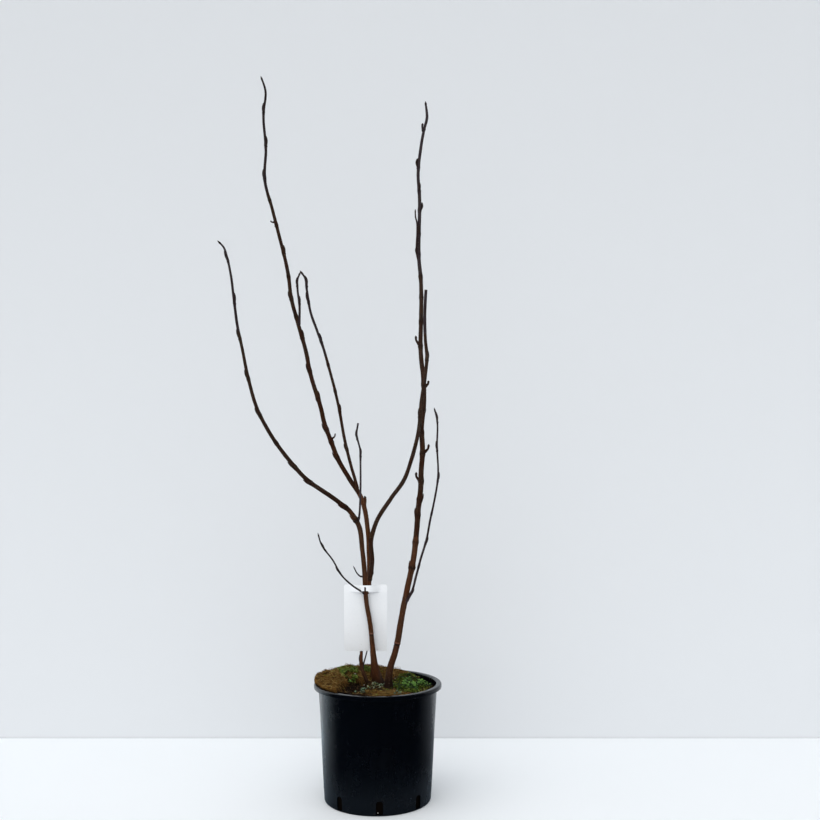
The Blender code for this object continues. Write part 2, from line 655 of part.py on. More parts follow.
def plant_tag(stem):
    """A thin blank card that hangs behind the left stem. Its top steps forward past the stem, which
    runs through the slot there."""
    def stem_at(height):
        station = np.interp(height, stem.axis.line[:, 2], stem.axis.along)
        return stem.axis.centre([station])[0], float(stem.axis.radius(station))

    foot, foot_radius = stem_at(TAG_BOTTOM)
    slot, radius = stem_at(TAG_SLOT_FOOT)
    above, radius_above = stem_at(TAG_SLOT_TOP)
    profile = (
        (foot[1] + foot_radius + 0.35, TAG_BOTTOM), (slot[1] + radius + 0.25, TAG_SLOT_FOOT),
        (above[1] - radius_above - 0.18, TAG_SLOT_TOP), (above[1] - radius_above - 0.22, TAG_TOP),
    )
    middle = (slot[0] + above[0]) / 2
    edges = (middle - TAG_WIDTH / 2, middle - 1.0, middle + 1.0, middle + TAG_WIDTH / 2)
    vertices = [(x, y, z) for y, z in profile for x in edges]
    faces = [(4 * i + j, 4 * i + j + 1, 4 * i + j + 5, 4 * i + j + 4) for i in range(3) for j in range(3)]
    card = new_object("plant_tag", vertices, faces)
    thicken = card.modifiers.new("Thickness", "SOLIDIFY")
    thicken.thickness = TAG_THICKNESS * CM
    thicken.offset = 0
    view = bpy.context.evaluated_depsgraph_get()
    card.data = bpy.data.meshes.new_from_object(card.evaluated_get(view))
    card.modifiers.clear()
    return cut_clear(card, [stem])


def main():
    for old in list(bpy.data.objects):
        bpy.data.objects.remove(old)
    limbs = grow_plant()
    stems = [limbs[name] for name in ("stem_left", "stem_middle", "stem_right", "base_stub")]
    finish(nursery_pot(), BLACK_PLASTIC, 0.35)
    finish(root_ball(stems), COMPOST, 0.95, sharp=80)
    finish(plant_tag(limbs["stem_left"]), WHITE_CARD, 0.45)
    for name, limb in limbs.items():
        if name.startswith("stem") or name == "base_stub":
            finish(limb.made, STEM_BARK, 0.6)
        else:
            finish(limb.made, BOUGH_BARK if "bough" in name else TWIG_BARK, 0.6)
    plant = bpy.data.objects.new("potted_magnolia", None)
    bpy.context.scene.collection.objects.link(plant)
    for made in bpy.context.scene.collection.objects:
        if made != plant:
            made.parent = plant


main()
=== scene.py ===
"""The looks of a potted oyama magnolia, bare in winter: stems, boughs and twigs with their bark, pores,
scars and buds, the black nursery pot, its compost with coir mat, moss and small leaves, and the tag.

Shapes are worked out in centimetres and turned into metres where a mesh is made. The lines that the
limbs follow, their thickness and the rule that sets their buds are the part's own, carried to finer
surfaces within the same reach."""

import json
import math
import random

import bpy
import numpy as np
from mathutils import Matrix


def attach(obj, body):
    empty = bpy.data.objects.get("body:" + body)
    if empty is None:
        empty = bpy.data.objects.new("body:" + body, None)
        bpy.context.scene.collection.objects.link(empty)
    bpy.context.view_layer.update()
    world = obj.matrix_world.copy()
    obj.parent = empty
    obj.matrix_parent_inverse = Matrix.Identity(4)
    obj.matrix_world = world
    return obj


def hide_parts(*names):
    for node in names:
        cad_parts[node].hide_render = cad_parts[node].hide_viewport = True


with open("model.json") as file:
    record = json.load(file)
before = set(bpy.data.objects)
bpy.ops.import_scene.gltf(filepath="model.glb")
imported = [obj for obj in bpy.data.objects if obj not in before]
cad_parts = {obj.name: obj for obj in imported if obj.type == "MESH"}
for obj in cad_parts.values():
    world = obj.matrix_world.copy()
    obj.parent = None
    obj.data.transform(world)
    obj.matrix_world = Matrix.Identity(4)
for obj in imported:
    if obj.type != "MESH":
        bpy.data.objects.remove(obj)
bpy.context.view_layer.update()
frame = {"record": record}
slots = {row["node"]: row["material_slot"] for row in frame["record"]["subparts"]}

CM = 0.01
TAU = 2 * math.pi

# Nursery pot
POT_HEIGHT = 23.7
FOOT_RADIUS = 10.9
WALL_TOP_RADIUS = 12.15
WALL = 0.2
FLOOR = 0.25
LIP_RADIUS = 13.1
LIP_HEIGHT = 0.9
SLOT_COUNT = 8
SLOT_WIDTH = 1.35
SLOT_HEIGHT = 2.65
SLOT_FOOT = 0.3
SLOT_TURN = math.radians(3.6)
SLOT_ROUNDING = 0.45
SLOT_ROWS = 9  # faces of the pot's grid up and across a slot, and across from one slot to the next
SLOT_COLUMNS = 10
BETWEEN_COLUMNS = 21
FOOT_RING = (8.6, 0.25, 0.035)  # the raised ring under the pot: its radius, half-width and height

# Root ball
GROUND = 23.15
MAT_RISE = 1.7
MAT_HIGH_SIDE = math.radians(150)
MAT_OVERHANG = 1.15
HOLLOW = (-4.3, -5.0, 2.6, 0.7)
SINK_SIDE = math.radians(24)
SINK_SPREAD = 0.7
SINK_DEPTH = 1.6
SINK_REACH = 3.4
SHOULDER = 0.35
FOOT_LEVEL = 23.05
GAP = 0.03

# The spot that the plant's seen places are measured from, as in the part
EYE_DISTANCE = 194.7
EYE_ACROSS = 6.6
EYE_HEIGHT = 65.3

# Growth
INTERNODE = 6.0
KNOT_SWELL = 0.18
KNOT_REACH = 0.55
BUD_LENGTH = 1.3
BUD_SEEN = 2.3
BUD_RADIUS = 0.25
BUD_SHARE = 0.45
BUD_SINK = 0.8
BUD_CLEAR = 0.8
SPUR_RADII = (0.23, 0.19)
TIP_BUD = 0.9

# Fineness of the bark
FINE_STEP = 0.05
COARSE_EVERY = 4  # away from nodes one fine ring in this many is kept
TWIG_SIDES = 12  # points round a bud or a short side twig
THIRD_UP = (0, 0.33, 1)  # the shares of a limb's length that its bark and darkness are given at
NODE_WINDOW = 0.55
PORES_PER_CM2 = 2.2
PORE_SIDES = 8
PORE_RINGS = ((1.0, 0.72, 0.3), (-0.012, 0.008, 0.014))  # their widths beside the pore's, and their heights

# Plant tag
TAG_WIDTH = 9.0
TAG_THICKNESS = 0.06
TAG_BOTTOM = 29.4
TAG_SLOT_FOOT = 41.8
TAG_SLOT_TOP = 43.0
TAG_TOP = 43.45
TAG_CORNER = 0.35


def unit(vectors):
    return vectors / np.linalg.norm(vectors, axis=-1, keepdims=True)


def smoothstep(x):
    """0 below 0, 1 above 1, and 3x^2 - 2x^3 between."""
    x = np.clip(x, 0, 1)
    return x * x * (3 - 2 * x)


def bell(x, width):
    """1 at 0, falling to nothing on both sides over about this width: exp(-(x / width)^2)."""
    return np.exp(-(x / width) ** 2)


def full_turn(count):
    """Angles evenly spread over a full turn."""
    return TAU * np.arange(count) / count


def spokes(right, back, angles):
    """Vectors round a line: right times each angle's cosine, and back times its sine."""
    angles = angles[:, None]
    return right[..., None, :] * np.cos(angles) + back[..., None, :] * np.sin(angles)


def level_pair(angles):
    """Level unit vectors: one that points out at each angle, and one square to it."""
    across, back, flat = np.cos(angles), np.sin(angles), 0 * angles
    return np.stack((across, back, flat), axis=-1), np.stack((-back, across, flat), axis=-1)


def waves(seed, along, around, turns, length, count=14):
    """Uneven relief, mostly between -1 and 1: a sum of cosines, each with a random whole number of
    turns round the limb, a random wavelength of about this length along it and a random phase."""
    rng = np.random.default_rng(seed)
    total = 0.0
    for _ in range(count):
        lobes = int(rng.integers(-turns, turns + 1))
        pace = TAU / (length * rng.uniform(0.6, 1.8))
        total = total + np.cos(lobes * around + pace * along + rng.uniform(0, TAU))
    return total * math.sqrt(2 / count) / 1.6


def lumps(seed, x, y, cell):
    """Smooth random relief between -1 and 1: random values on a square lattice of this cell size,
    blended across each cell by 3t^2 - 2t^3."""
    lattice = np.random.default_rng(seed).uniform(-1, 1, (128, 128))
    u, v = x / cell + 64, y / cell + 64
    i, j = np.floor(u).astype(int), np.floor(v).astype(int)
    a, b = smoothstep(u - i), smoothstep(v - j)
    i, j, i_next, j_next = i % 128, j % 128, (i + 1) % 128, (j + 1) % 128
    low = lattice[i, j] * (1 - a) + lattice[i_next, j] * a
    high = lattice[i, j_next] * (1 - a) + lattice[i_next, j_next] * a
    return low * (1 - b) + high * b


def layered(seed, x, y, cell, layers=4):
    """Lumps of this size with ever finer ones on them, each layer half as large and half as high."""
    return sum(lumps(seed + k, x, y, cell / 2 ** k) / 2 ** k for k in range(layers)) / 1.6


# Meshes made of patches

def patch(points, faces, finish=0, **marks):
    """Part of a piece: points in centimetres, a list of face arrays (quads or triangles), a finish
    number for all its faces or one for each, and marks, which hold a value for each point."""
    count = sum(len(rows) for rows in faces)
    finish = np.broadcast_to(np.asarray(finish, int), (count,))
    return {"points": np.asarray(points, float).reshape(-1, 3), "faces": faces, "finish": finish,
            "marks": marks}


def grid_faces(rows, columns, closed=True):
    """Quads over a grid whose points run along each row; a closed one joins the last column to the
    first. Faces point outwards when rows go up and columns go anticlockwise seen from above."""
    across = columns if closed else columns - 1
    i, j = np.meshgrid(np.arange(rows - 1), np.arange(across), indexing="ij")
    after = (j + 1) % columns
    return np.stack([i * columns + j, i * columns + after, (i + 1) * columns + after,
                     (i + 1) * columns + j], axis=-1).reshape(-1, 4)


def lathe_faces(rows, columns):
    """Faces of a closed body: a grid of rings between two poles, which are its last two points."""
    quads = grid_faces(rows, columns)
    j = np.arange(columns)
    after = (j + 1) % columns
    low_pole, high_pole = rows * columns, rows * columns + 1
    first = np.stack([after, j, np.full(columns, low_pole)], axis=-1)
    last = (rows - 1) * columns
    final = np.stack([last + j, last + after, np.full(columns, high_pole)], axis=-1)
    return [quads, first, final]


def capped(rings, low, high):
    """The points of many closed bodies: each one's rings, and then its two poles."""
    return np.concatenate((rings.reshape(len(rings), -1, 3), low[:, None], high[:, None]), axis=1)


def many(points, faces, finish=0):
    """One patch from many copies: points are (copies, points in each, 3) and faces are those of one.
    finish is a number for all, or one for each copy."""
    copies, each = points.shape[:2]
    shift = np.arange(copies)[:, None, None] * each
    spread = [(rows[None] + shift).reshape(-1, rows.shape[1]) for rows in faces]
    numbers = np.broadcast_to(np.asarray(finish, int), (copies,))
    finish = np.concatenate([np.repeat(numbers, len(rows)) for rows in faces])
    return patch(points, spread, finish)


MARKS = ("scar", "grey", "age")


def make_piece(name, patches, finishes, nodes=(), sharp=50.0):
    """Joins the patches into one mesh object in metres, which rides on the plant's body."""
    points = np.concatenate([p["points"] for p in patches]) * CM
    starts = np.cumsum([0] + [len(p["points"]) for p in patches])
    quads, triangles, quad_finish, triangle_finish = [], [], [], []
    for p, start in zip(patches, starts):
        done = 0
        for rows in p["faces"]:
            finish = p["finish"][done:done + len(rows)]
            done += len(rows)
            (quads if rows.shape[1] == 4 else triangles).append(rows + start)
            (quad_finish if rows.shape[1] == 4 else triangle_finish).append(finish)
    corners = [np.concatenate(rows).ravel() for rows in (quads, triangles) if rows]
    sizes = np.concatenate([np.full(sum(map(len, quads)), 4), np.full(sum(map(len, triangles)), 3)])
    mesh = bpy.data.meshes.new(name)
    mesh.vertices.add(len(points))
    mesh.vertices.foreach_set("co", points.ravel())
    mesh.loops.add(int(sizes.sum()))
    mesh.loops.foreach_set("vertex_index", np.concatenate(corners))
    mesh.polygons.add(len(sizes))
    mesh.polygons.foreach_set("loop_start", np.concatenate(([0], np.cumsum(sizes)[:-1])))
    mesh.polygons.foreach_set("material_index", np.concatenate(quad_finish + triangle_finish))
    for finish in finishes:
        mesh.materials.append(finish)
    if any(p["marks"] for p in patches):
        for mark in MARKS:
            values = [np.broadcast_to(p["marks"].get(mark, 0.0), len(p["points"])) for p in patches]
            layer = mesh.attributes.new(mark, "FLOAT", "POINT")
            layer.data.foreach_set("value", np.concatenate(values).astype(np.float32))
        grain = [p["marks"].get("grain", p["points"]) for p in patches]
        layer = mesh.attributes.new("grain", "FLOAT_VECTOR", "POINT")
        layer.data.foreach_set("vector", np.concatenate(grain).astype(np.float32).ravel())
    mesh.update(calc_edges=True)
    mesh.validate()
    mesh.shade_smooth()
    mesh.set_sharp_from_angle(angle=math.radians(sharp))
    made = bpy.data.objects.new(name, mesh)
    bpy.context.scene.collection.objects.link(made)
    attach(made, "root")
    if nodes:
        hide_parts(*nodes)
    return made


# Growing lines

def at_ground(across, back):
    """The seen place of a point that lies back behind the pot's axis on the stems' flat cut."""
    return across, back, EYE_HEIGHT + (FOOT_LEVEL - EYE_HEIGHT) / (1 + back / EYE_DISTANCE)


def placed(seen):
    """Real points for seen ones: each moves along its own line of sight to its depth."""
    reach = 1 + seen[:, 1] / EYE_DISTANCE
    across = EYE_ACROSS + (seen[:, 0] - EYE_ACROSS) * reach
    up = EYE_HEIGHT + (seen[:, 2] - EYE_HEIGHT) * reach
    return np.column_stack((across, seen[:, 1], up))


def smooth_line(points, fine=24):
    """A fine polyline on a smooth curve through the points. Each span is a cubic, and its slope at
    an inner point is the mean of the slopes on both sides, weighted towards the shorter span."""
    points = np.array(points, float)
    span = np.linalg.norm(np.diff(points, axis=0), axis=1)[:, None]
    slope = np.diff(points, axis=0) / span
    inner = (slope[:-1] * span[1:] + slope[1:] * span[:-1]) / (span[:-1] + span[1:])
    slopes = np.vstack((slope[:1], inner, slope[-1:]))
    t = np.linspace(0, 1, fine, endpoint=False)[:, None]
    spans = [
        (1 + 2 * t) * (1 - t) ** 2 * a + t * (1 - t) ** 2 * length * slope_a
        + t * t * (3 - 2 * t) * b + t * t * (t - 1) * length * slope_b
        for a, b, slope_a, slope_b, length in zip(points, points[1:], slopes, slopes[1:], span)
    ]
    return np.vstack(spans + [points[-1:]])


class Axis:
    """One growing line of the plant, from its foot on the ground or in its parent limb to its tip.

    points    seen places that the centre line passes through
    thick     thickness at the foot and at the tip
    bulk      how late it thins: 1 is an even taper, more keeps the lower part thick
    nodes     seen heights of the buds' tips that show in profile, the left-facing ones below zero
    spurs     seen height, reach and length of each short side twig, the left-facing with reach below zero
    flare     what the root flare adds to the radius at the foot, and its height
    grey      how grey the bark is at the foot and at the tip, from 0 to 1
    rings     seen heights of old growth rings that stand out
    bark      how far the bark stands out from the part's taper: at the foot, a third up and near the tip
    plump     how far buds stand out on old and on young wood, 1 for the fattest
    dark      how much darker the bark is: at the foot, a third up and at the tip
    knots     seen heights of fat dark knots
    parent    the line that this one grows from"""

    def __init__(self, points, thick, bulk=1.0, nodes=(), spurs=(), flare=(0.0, 1.0), cut_tip=False,
                 grey=(0.0, 0.0), rings=(), bark=(0.03, 0.03, 0.03), plump=(0.4, 0.4),
                 dark=(0.0, 0.0, 0.0), knots=(), parent=None):
        seen = smooth_line(points)
        self.line = placed(seen)
        steps = np.linalg.norm(np.diff(self.line, axis=0), axis=1)
        self.along = np.concatenate(([0], np.cumsum(steps)))
        self.length = self.along[-1]
        self.seen_height = seen[:, 2]
        self.slope = unit(np.gradient(self.line, self.along, axis=0))
        self.thick, self.bulk, self.flare, self.cut_tip = thick, bulk, flare, cut_tip
        self.grey, self.bark, self.plump, self.seed = grey, bark, plump, round(self.length * 100)
        self.spurs = [(self.station(height), reach, length) for height, reach, length in spurs]
        self.rings = [self.station(height) for height in rings]
        self.dark, self.knots = dark, [self.station(height) for height in knots]
        tips = [(self.station(abs(height)), height > 0) for height in nodes]
        sink = BUD_SINK * BUD_LENGTH
        self.nodes = self.grow_nodes([(s - sink * self.bud_size(s), right) for s, right in tips])
        self.collar = self.leaves(parent) if parent else None

    def station(self, seen_height):
        """How far along the line a seen height lies."""
        return float(np.interp(seen_height, self.seen_height, self.along))

    def bud_size(self, station):
        """Size of a bud beside the largest: buds are plumper towards the tip."""
        return BUD_SHARE + (1 - BUD_SHARE) * station / self.length

    def grow_nodes(self, seen_nodes):
        """Every node as its station and the angle it faces. Those seen in profile face right (0) or
        left (half a turn). Where two lie far apart, more between them face front and back by turns."""
        rng = random.Random(self.seed)
        nodes = [(s, (0 if right else math.pi) + rng.uniform(-0.4, 0.4)) for s, right in seen_nodes]
        for (low, _), (high, _) in zip(seen_nodes, seen_nodes[1:]):
            count = round((high - low) / INTERNODE)
            for i in range(1, count):
                station = low + (high - low) * (i + rng.uniform(-0.12, 0.12)) / count
                nodes.append((station, (-1) ** i * math.pi / 2 + rng.uniform(-0.5, 0.5)))
        return sorted(nodes)

    def leaves(self, parent):
        """The station where the line comes out through its parent's bark: the first whose distance
        to the parent's line is more than the parent's radius there."""
        stations = np.linspace(0, min(self.length, 12.0), 200)
        apart = np.linalg.norm(self.centre(stations)[:, None] - parent.line[None], axis=2)
        nearest = apart.argmin(axis=1)
        out = apart.min(axis=1) > parent.radius(parent.along[nearest])
        return float(stations[out.argmax()])

    def centre(self, stations):
        return np.column_stack([np.interp(stations, self.along, self.line[:, k]) for k in range(3)])

    def direction(self, stations):
        return unit(np.column_stack([np.interp(stations, self.along, self.slope[:, k]) for k in range(3)]))

    def radius(self, stations):
        """Half the tapering thickness and the bark on it, which thins out at the tip, with the root
        flare and a swelling at each node."""
        share = np.clip(np.asarray(stations, float) / self.length, 0, 1)
        foot, tip = self.thick
        radius = (tip + (foot - tip) * (1 - share ** self.bulk)) / 2
        left = 1.0 if self.cut_tip else np.clip((self.length - np.asarray(stations)) / 3.5, 0, 1) ** 0.7
        radius = radius + np.interp(share, THIRD_UP, self.bark) * left
        swell = sum((bell(stations - s, KNOT_REACH) for s, _ in self.nodes), 0 * share)
        added, height = self.flare
        return radius * (1 + KNOT_SWELL * swell) + added * np.exp(-np.asarray(stations) / height)

    def sides(self, stations):
        """Unit vectors square to the line: one to the right, and one to the back."""
        along = self.direction(stations)
        right = unit(np.cross((0.0, 1.0, 0.0), along))
        return right, np.cross(along, right)

    def outward(self, stations, angles):
        """Unit vectors square to the line, one for each station and its angle."""
        right, back = self.sides(stations)
        angles = np.asarray(angles)[..., None]
        return right * np.cos(angles) + back * np.sin(angles)

    def greyness(self, stations):
        foot, tip = self.grey
        return foot + (tip - foot) * np.clip(np.asarray(stations) / self.length, 0, 1)

    def fine_stations(self, start, end):
        """Stations from start to end: fine steps across nodes and growth rings, coarser elsewhere."""
        fine = np.arange(start, end - FINE_STEP / 2, FINE_STEP)
        marks = [s for s, _ in self.nodes] + self.rings + self.knots + [start, end, self.length]
        near = np.abs(fine[:, None] - np.array(marks)).min(axis=1) < NODE_WINDOW
        keep = near | (np.arange(len(fine)) % COARSE_EVERY == 0)
        return np.append(fine[keep], end)


def grow_lines():
    """Every growing line by name, on the part's own routes."""
    lines = {}
    lines["left"] = Axis(
        points=(
            at_ground(0.15, 3.3), (-0.4, 3.1, 25.8), (-1.0, 2.8, 30.1), (-1.4, 2.4, 34.2),
            (-2.5, 1.6, 41.4), (-2.8, 1.1, 46.8), (-3.2, 0.5, 50.9), (-4.1, -0.4, 56.2),
            (-5.9, -1.2, 58.9), (-7.8, -1.7, 60.5), (-11.8, -2.5, 63.3), (-14.0, -3.0, 64.8),
            (-18.1, -3.8, 69.1), (-22.1, -4.9, 74.6), (-24.9, -5.9, 79.9), (-26.7, -6.9, 85.9),
            (-28.1, -8.0, 92.6), (-29.0, -8.6, 96.8), (-29.9, -9.6, 103.4), (-30.5, -10.5, 108.0),
            (-31.3, -11.1, 111.6), (-32.0, -11.9, 113.6), (-33.3, -12.4, 115.0),
        ),
        thick=(0.98, 0.34), bulk=1.3, flare=(1.1, 2.9), grey=(0.0, 0.65), bark=(0.0, 0.155, 0.05),
        dark=(0.0, 0.45, 0.1), rings=(33.5,), knots=(57.0,),
        nodes=(-57.6, -60.1, -65.2, -68.6, -79.5, -87.2, -95.6, 103.0, -111.8),
    )
    lines["middle"] = Axis(
        points=(
            at_ground(-0.8, 5.9), (-1.0, 5.7, 28.2), (-1.8, 5.1, 43.7), (-1.8, 5.0, 48.8),
            (-2.1, 5.0, 55.0), (-2.7, 5.0, 59.1), (-3.3, 5.1, 61.2), (-5.8, 5.3, 65.3),
            (-8.2, 5.7, 69.4), (-9.8, 6.1, 73.5), (-10.9, 6.5, 76.4), (-11.7, 7.0, 79.7),
            (-14.2, 8.3, 88.2), (-14.6, 8.6, 90.5), (-16.1, 9.0, 96.1), (-17.8, 9.6, 102.2),
            (-18.7, 10.5, 108.5), (-20.2, 11.3, 114.7), (-21.8, 11.5, 120.9), (-23.4, 11.5, 127.1),
            (-23.2, 10.8, 133.3), (-23.7, 9.9, 141.0), (-23.3, 9.6, 145.6), (-24.3, 9.0, 148.8),
        ),
        thick=(1.02, 0.32), bulk=2.0, flare=(0.5, 2.0), grey=(0.0, 0.5), bark=(0.0, 0.085, 0.10),
        dark=(0.0, 0.0, 0.35),
        nodes=(-70.4, 73.7, -76.2, 82.6, -88.4, 95.2, -103.4, 112.7, -118.6, -128.4, 135.2, -142.2),
        spurs=((60.0, 0.1, 1.9), (73.5, 0.8, 0.9), (118.4, -0.6, 0.6)), plump=(0.35, 0.5),
    )
    lines["right"] = Axis(
        points=(
            at_ground(2.2, -3.3), (2.4, -3.2, 26.0), (3.7, -3.0, 30.3), (4.8, -2.6, 36.5),
            (6.0, -2.0, 42.6), (7.3, -1.3, 48.8), (8.0, -0.6, 55.0), (8.3, -0.1, 59.1),
            (8.7, 0.5, 62.2), (9.0, 1.4, 68.2), (9.2, 2.0, 71.1), (9.0, 3.0, 75.6),
            (9.5, 4.4, 81.8), (9.4, 5.4, 85.6), (8.8, 7.1, 92.0), (8.9, 8.8, 98.3),
            (8.9, 11.1, 105.5), (8.4, 13.3, 112.0), (8.5, 14.4, 116.8), (8.6, 15.5, 123.0),
            (8.3, 16.4, 128.6), (8.8, 16.9, 133.3), (9.5, 17.1, 137.4), (10.1, 17.1, 139.8),
            (9.8, 17.1, 143.4),
        ),
        thick=(1.24, 0.38), bulk=1.2, flare=(0.45, 1.8), grey=(0.0, 0.95), bark=(0.1, 0.11, 0.15),
        dark=(0.5, 0.1, 0.0), plump=(0.35, 1.0), rings=(31.5,), knots=(47.2,),
        nodes=(-47.8, -58.7, 61.8, -65.7, 71.3, 85.5, -93.5, -112.4, 121.6, -130.5),
        spurs=(
            (65.0, -0.3, 1.9), (70.8, 0.5, 2.0), (84.4, 0.4, 1.4), (93.0, -0.35, 2.2),
            (137.3, -0.2, 1.6),
        ),
    )
    lines["inner"] = Axis(
        points=(
            (-4.0, 5.0, 62.3), (-4.7, 4.6, 65.3), (-5.4, 4.0, 67.6), (-6.8, 1.7, 73.3),
            (-8.4, -1.8, 81.8), (-10.0, -4.5, 88.0), (-11.2, -6.3, 92.3), (-12.6, -8.3, 96.2),
            (-14.0, -10.3, 100.3), (-14.7, -12.0, 104.4), (-15.2, -13.1, 107.4), (-16.2, -13.8, 108.8),
        ),
        thick=(0.64, 0.36), bulk=1.5, nodes=(-72.1, 80.1, 94.7, -103.2, 106.7), grey=(0.2, 0.6),
        bark=(0.05, 0.055, 0.06), parent=lines["middle"],
    )
    lines["cross"] = Axis(
        points=(
            (-1.7, 5.0, 44.5), (-1.2, 4.2, 48.4), (-1.4, 4.0, 52.7), (-0.2, 3.8, 56.8),
            (2.7, 3.5, 61.4), (5.3, 3.1, 65.1), (6.9, 2.3, 69.4), (8.4, 1.1, 75.6),
            (9.0, 0.4, 81.8), (9.7, 0.0, 86.3), (10.1, -0.4, 90.6), (9.8, -1.1, 94.1),
            (9.7, -2.9, 100.3), (9.9, -4.3, 104.6),
        ),
        thick=(0.92, 0.5), nodes=(-79.1, 91.0), cut_tip=True, grey=(0.45, 0.7), bark=(0.04, 0.05, 0.05),
        parent=lines["middle"],
    )
    lines["right_twig"] = Axis(
        points=((8.3, 12.7, 110.4), (8.0, 13.0, 112.0), (8.1, 13.9, 116.4), (8.05, 14.2, 118.2),
                (7.74, 14.4, 119.5), (7.7, 14.6, 121.1)),
        thick=(0.4, 0.24), grey=(0.2, 0.0), bark=(0.04, 0.05, 0.1), parent=lines["right"],
    )
    lines["right_shoot"] = Axis(
        points=(
            (5.3, -2.3, 39.2), (6.3, -2.8, 40.9), (7.1, -3.4, 42.6), (7.8, -4.1, 45.2),
            (8.7, -5.1, 48.6), (10.1, -6.6, 53.4), (10.8, -8.0, 57.2), (11.5, -9.0, 60.4),
            (12.4, -10.4, 66.1), (12.2, -11.7, 72.5), (12.2, -12.6, 77.8), (11.6, -13.2, 80.4),
        ),
        thick=(0.5, 0.3), nodes=(42.4, 52.9, 66.1, -72.5, 78.5), grey=(0.3, 0.7),
        parent=lines["right"],
    )
    lines["low_shoot"] = Axis(
        points=(
            (-2.4, 1.5, 41.5), (-3.3, 0.9, 42.2), (-5.1, 0.0, 43.4), (-7.2, -0.9, 45.3),
            (-9.4, -2.0, 48.9), (-11.7, -3.1, 52.1), (-12.4, -3.7, 54.4),
        ),
        thick=(0.36, 0.28), nodes=(-46.8, 51.6), grey=(0.4, 0.7), dark=(0.4, 0.4, 0.4),
        parent=lines["left"],
    )
    lines["short_spur"] = Axis(
        points=((-2.7, 1.2, 45.4), (-3.6, 0.8, 45.4), (-4.1, 0.6, 45.8), (-5.1, 0.2, 47.6)),
        thick=(0.32, 0.2), grey=(0.5, 0.9), parent=lines["left"],
    )
    lines["centre_shoot"] = Axis(
        points=(
            (-4.1, -0.5, 56.4), (-3.8, -1.0, 58.2), (-3.7, -1.2, 60.0), (-3.6, -2.0, 68.4),
            (-3.7, -2.3, 71.6), (-4.4, -2.6, 74.8), (-4.1, -2.8, 77.0),
        ),
        thick=(0.36, 0.32), nodes=(71.1, -74.8), cut_tip=True, grey=(1.0, 1.0), parent=lines["left"],
    )
    lines["inner_shoot"] = Axis(
        points=((-16.3, 8.9, 97.0), (-16.2, 8.1, 98.8), (-16.2, 7.5, 101.2), (-16.6, 6.5, 104.4),
                (-16.6, 5.8, 106.6), (-16.0, 5.2, 108.2)),
        thick=(0.52, 0.34), nodes=(102.4, -106.3), grey=(0.3, 0.6), bark=(0.05, 0.05, 0.05),
        parent=lines["middle"],
    )
    lines["base_stub"] = Axis(
        points=(at_ground(-2.1, 2.6), (-2.7, 2.5, 24.9), (-3.3, 2.3, 26.6), (-3.4, 2.4, 30.0)),
        thick=(0.72, 0.58), flare=(0.12, 1.0), nodes=(-28.5,), cut_tip=True, grey=(0.3, 0.1),
    )
    lines["base_twig"] = Axis(
        points=((-3.1, 2.35, 26.4), (-2.9, 3.1, 27.5), (-2.6, 3.9, 28.6), (-2.2, 4.6, 30.2),
                (-2.0, 4.8, 31.9)),
        thick=(0.3, 0.22), grey=(1.0, 1.0), parent=lines["base_stub"],
    )
    return lines


# Each line's pieces: the part's node, and the seen height where it ends
LIMBS = {
    "left": (("stem_left", 59.0), ("left_bough_lower", 66.9), ("left_bough_upper", 96.2),
             ("left_leader", None)),
    "middle": (("stem_middle", 62.9), ("tall_bough_lower", 92.0), ("tall_bough_upper", 124.6),
               ("tall_leader", None)),
    "right": (("stem_right", 53.5), ("right_bough_lower", 89.5), ("right_bough_upper", 107.4),
              ("right_leader", None)),
    "inner": (("inner_bough", 91.0), ("inner_leader", None)),
    "cross": (("cross_bough_lower", 65.1), ("cross_bough_upper", 95.5), ("cross_leader", None)),
    "right_shoot": (("right_shoot_lower", 60.4), ("right_shoot_upper", None)),
}
LIMBS.update((name, ((name, None),)) for name in (
    "low_shoot", "short_spur", "centre_shoot", "inner_shoot", "base_stub", "base_twig"))

BARK, BUD, WOOD, PORE = range(4)  # finish numbers in every limb

# The rings inside a limb's end: how wide each is beside the last one, and how far out it stands
CUT_END = ((0.93, 0.6, 0.25), (0.015, -0.01, -0.04))
PLAIN_END = ((0.5,), (0.0,))
LEVEL_FOOT = 3.0  # the rings of a stem turn square to it over this length


def wrapped(angle):
    """An angle brought between minus and plus half a turn."""
    return (angle + math.pi) % TAU - math.pi


def node_relief(axis, along, around, radius):
    """What the nodes and growth rings add to the radius, and how they mark the bark: pale above zero
    and dark below. Every node has a fine raised ring with a groove under it that rises towards its
    bud, and under the bud a shield-shaped leaf scar. A growth ring is three such ridges close
    together, and a knot is a smooth dark swelling."""
    relief = 0.0 * along * around
    scar = 0.0 * along * around
    for s, angle in axis.nodes:
        size = axis.bud_size(s)
        turn = wrapped(around - angle)
        x = along - s - 0.10 * np.cos(turn)
        ridge, groove = bell(x - 0.05, 0.06), bell(x + 0.07, 0.06)
        shield = np.exp(-((along - s + 0.16) / 0.17) ** 2 - (turn * radius / (0.20 * size + 0.06)) ** 2)
        relief = relief + size * (0.022 * ridge - 0.018 * groove + 0.07 * shield)
        scar = scar + 0.3 * ridge - 0.8 * groove - 0.3 * shield - 0.25 * bell(along - s, 0.35)
    for s in axis.rings:
        x = along - s - 0.04 * np.sin(around + s)
        ridges = sum(bell(x - k * 0.14, 0.05) for k in (-1, 0, 1))
        relief = relief + 0.045 * bell(x - 0.2, 0.16) - 0.05 * bell(x + 0.16, 0.12) + 0.012 * ridges
        scar = scar + bell(x - 0.22, 0.13) - bell(x + 0.14, 0.14)
    for s in axis.knots:
        relief = relief + 0.1 * bell(along - s, 0.42)
        scar = scar - 0.45 * bell(along - s, 0.5)
    return relief, np.clip(scar, -1, 1)


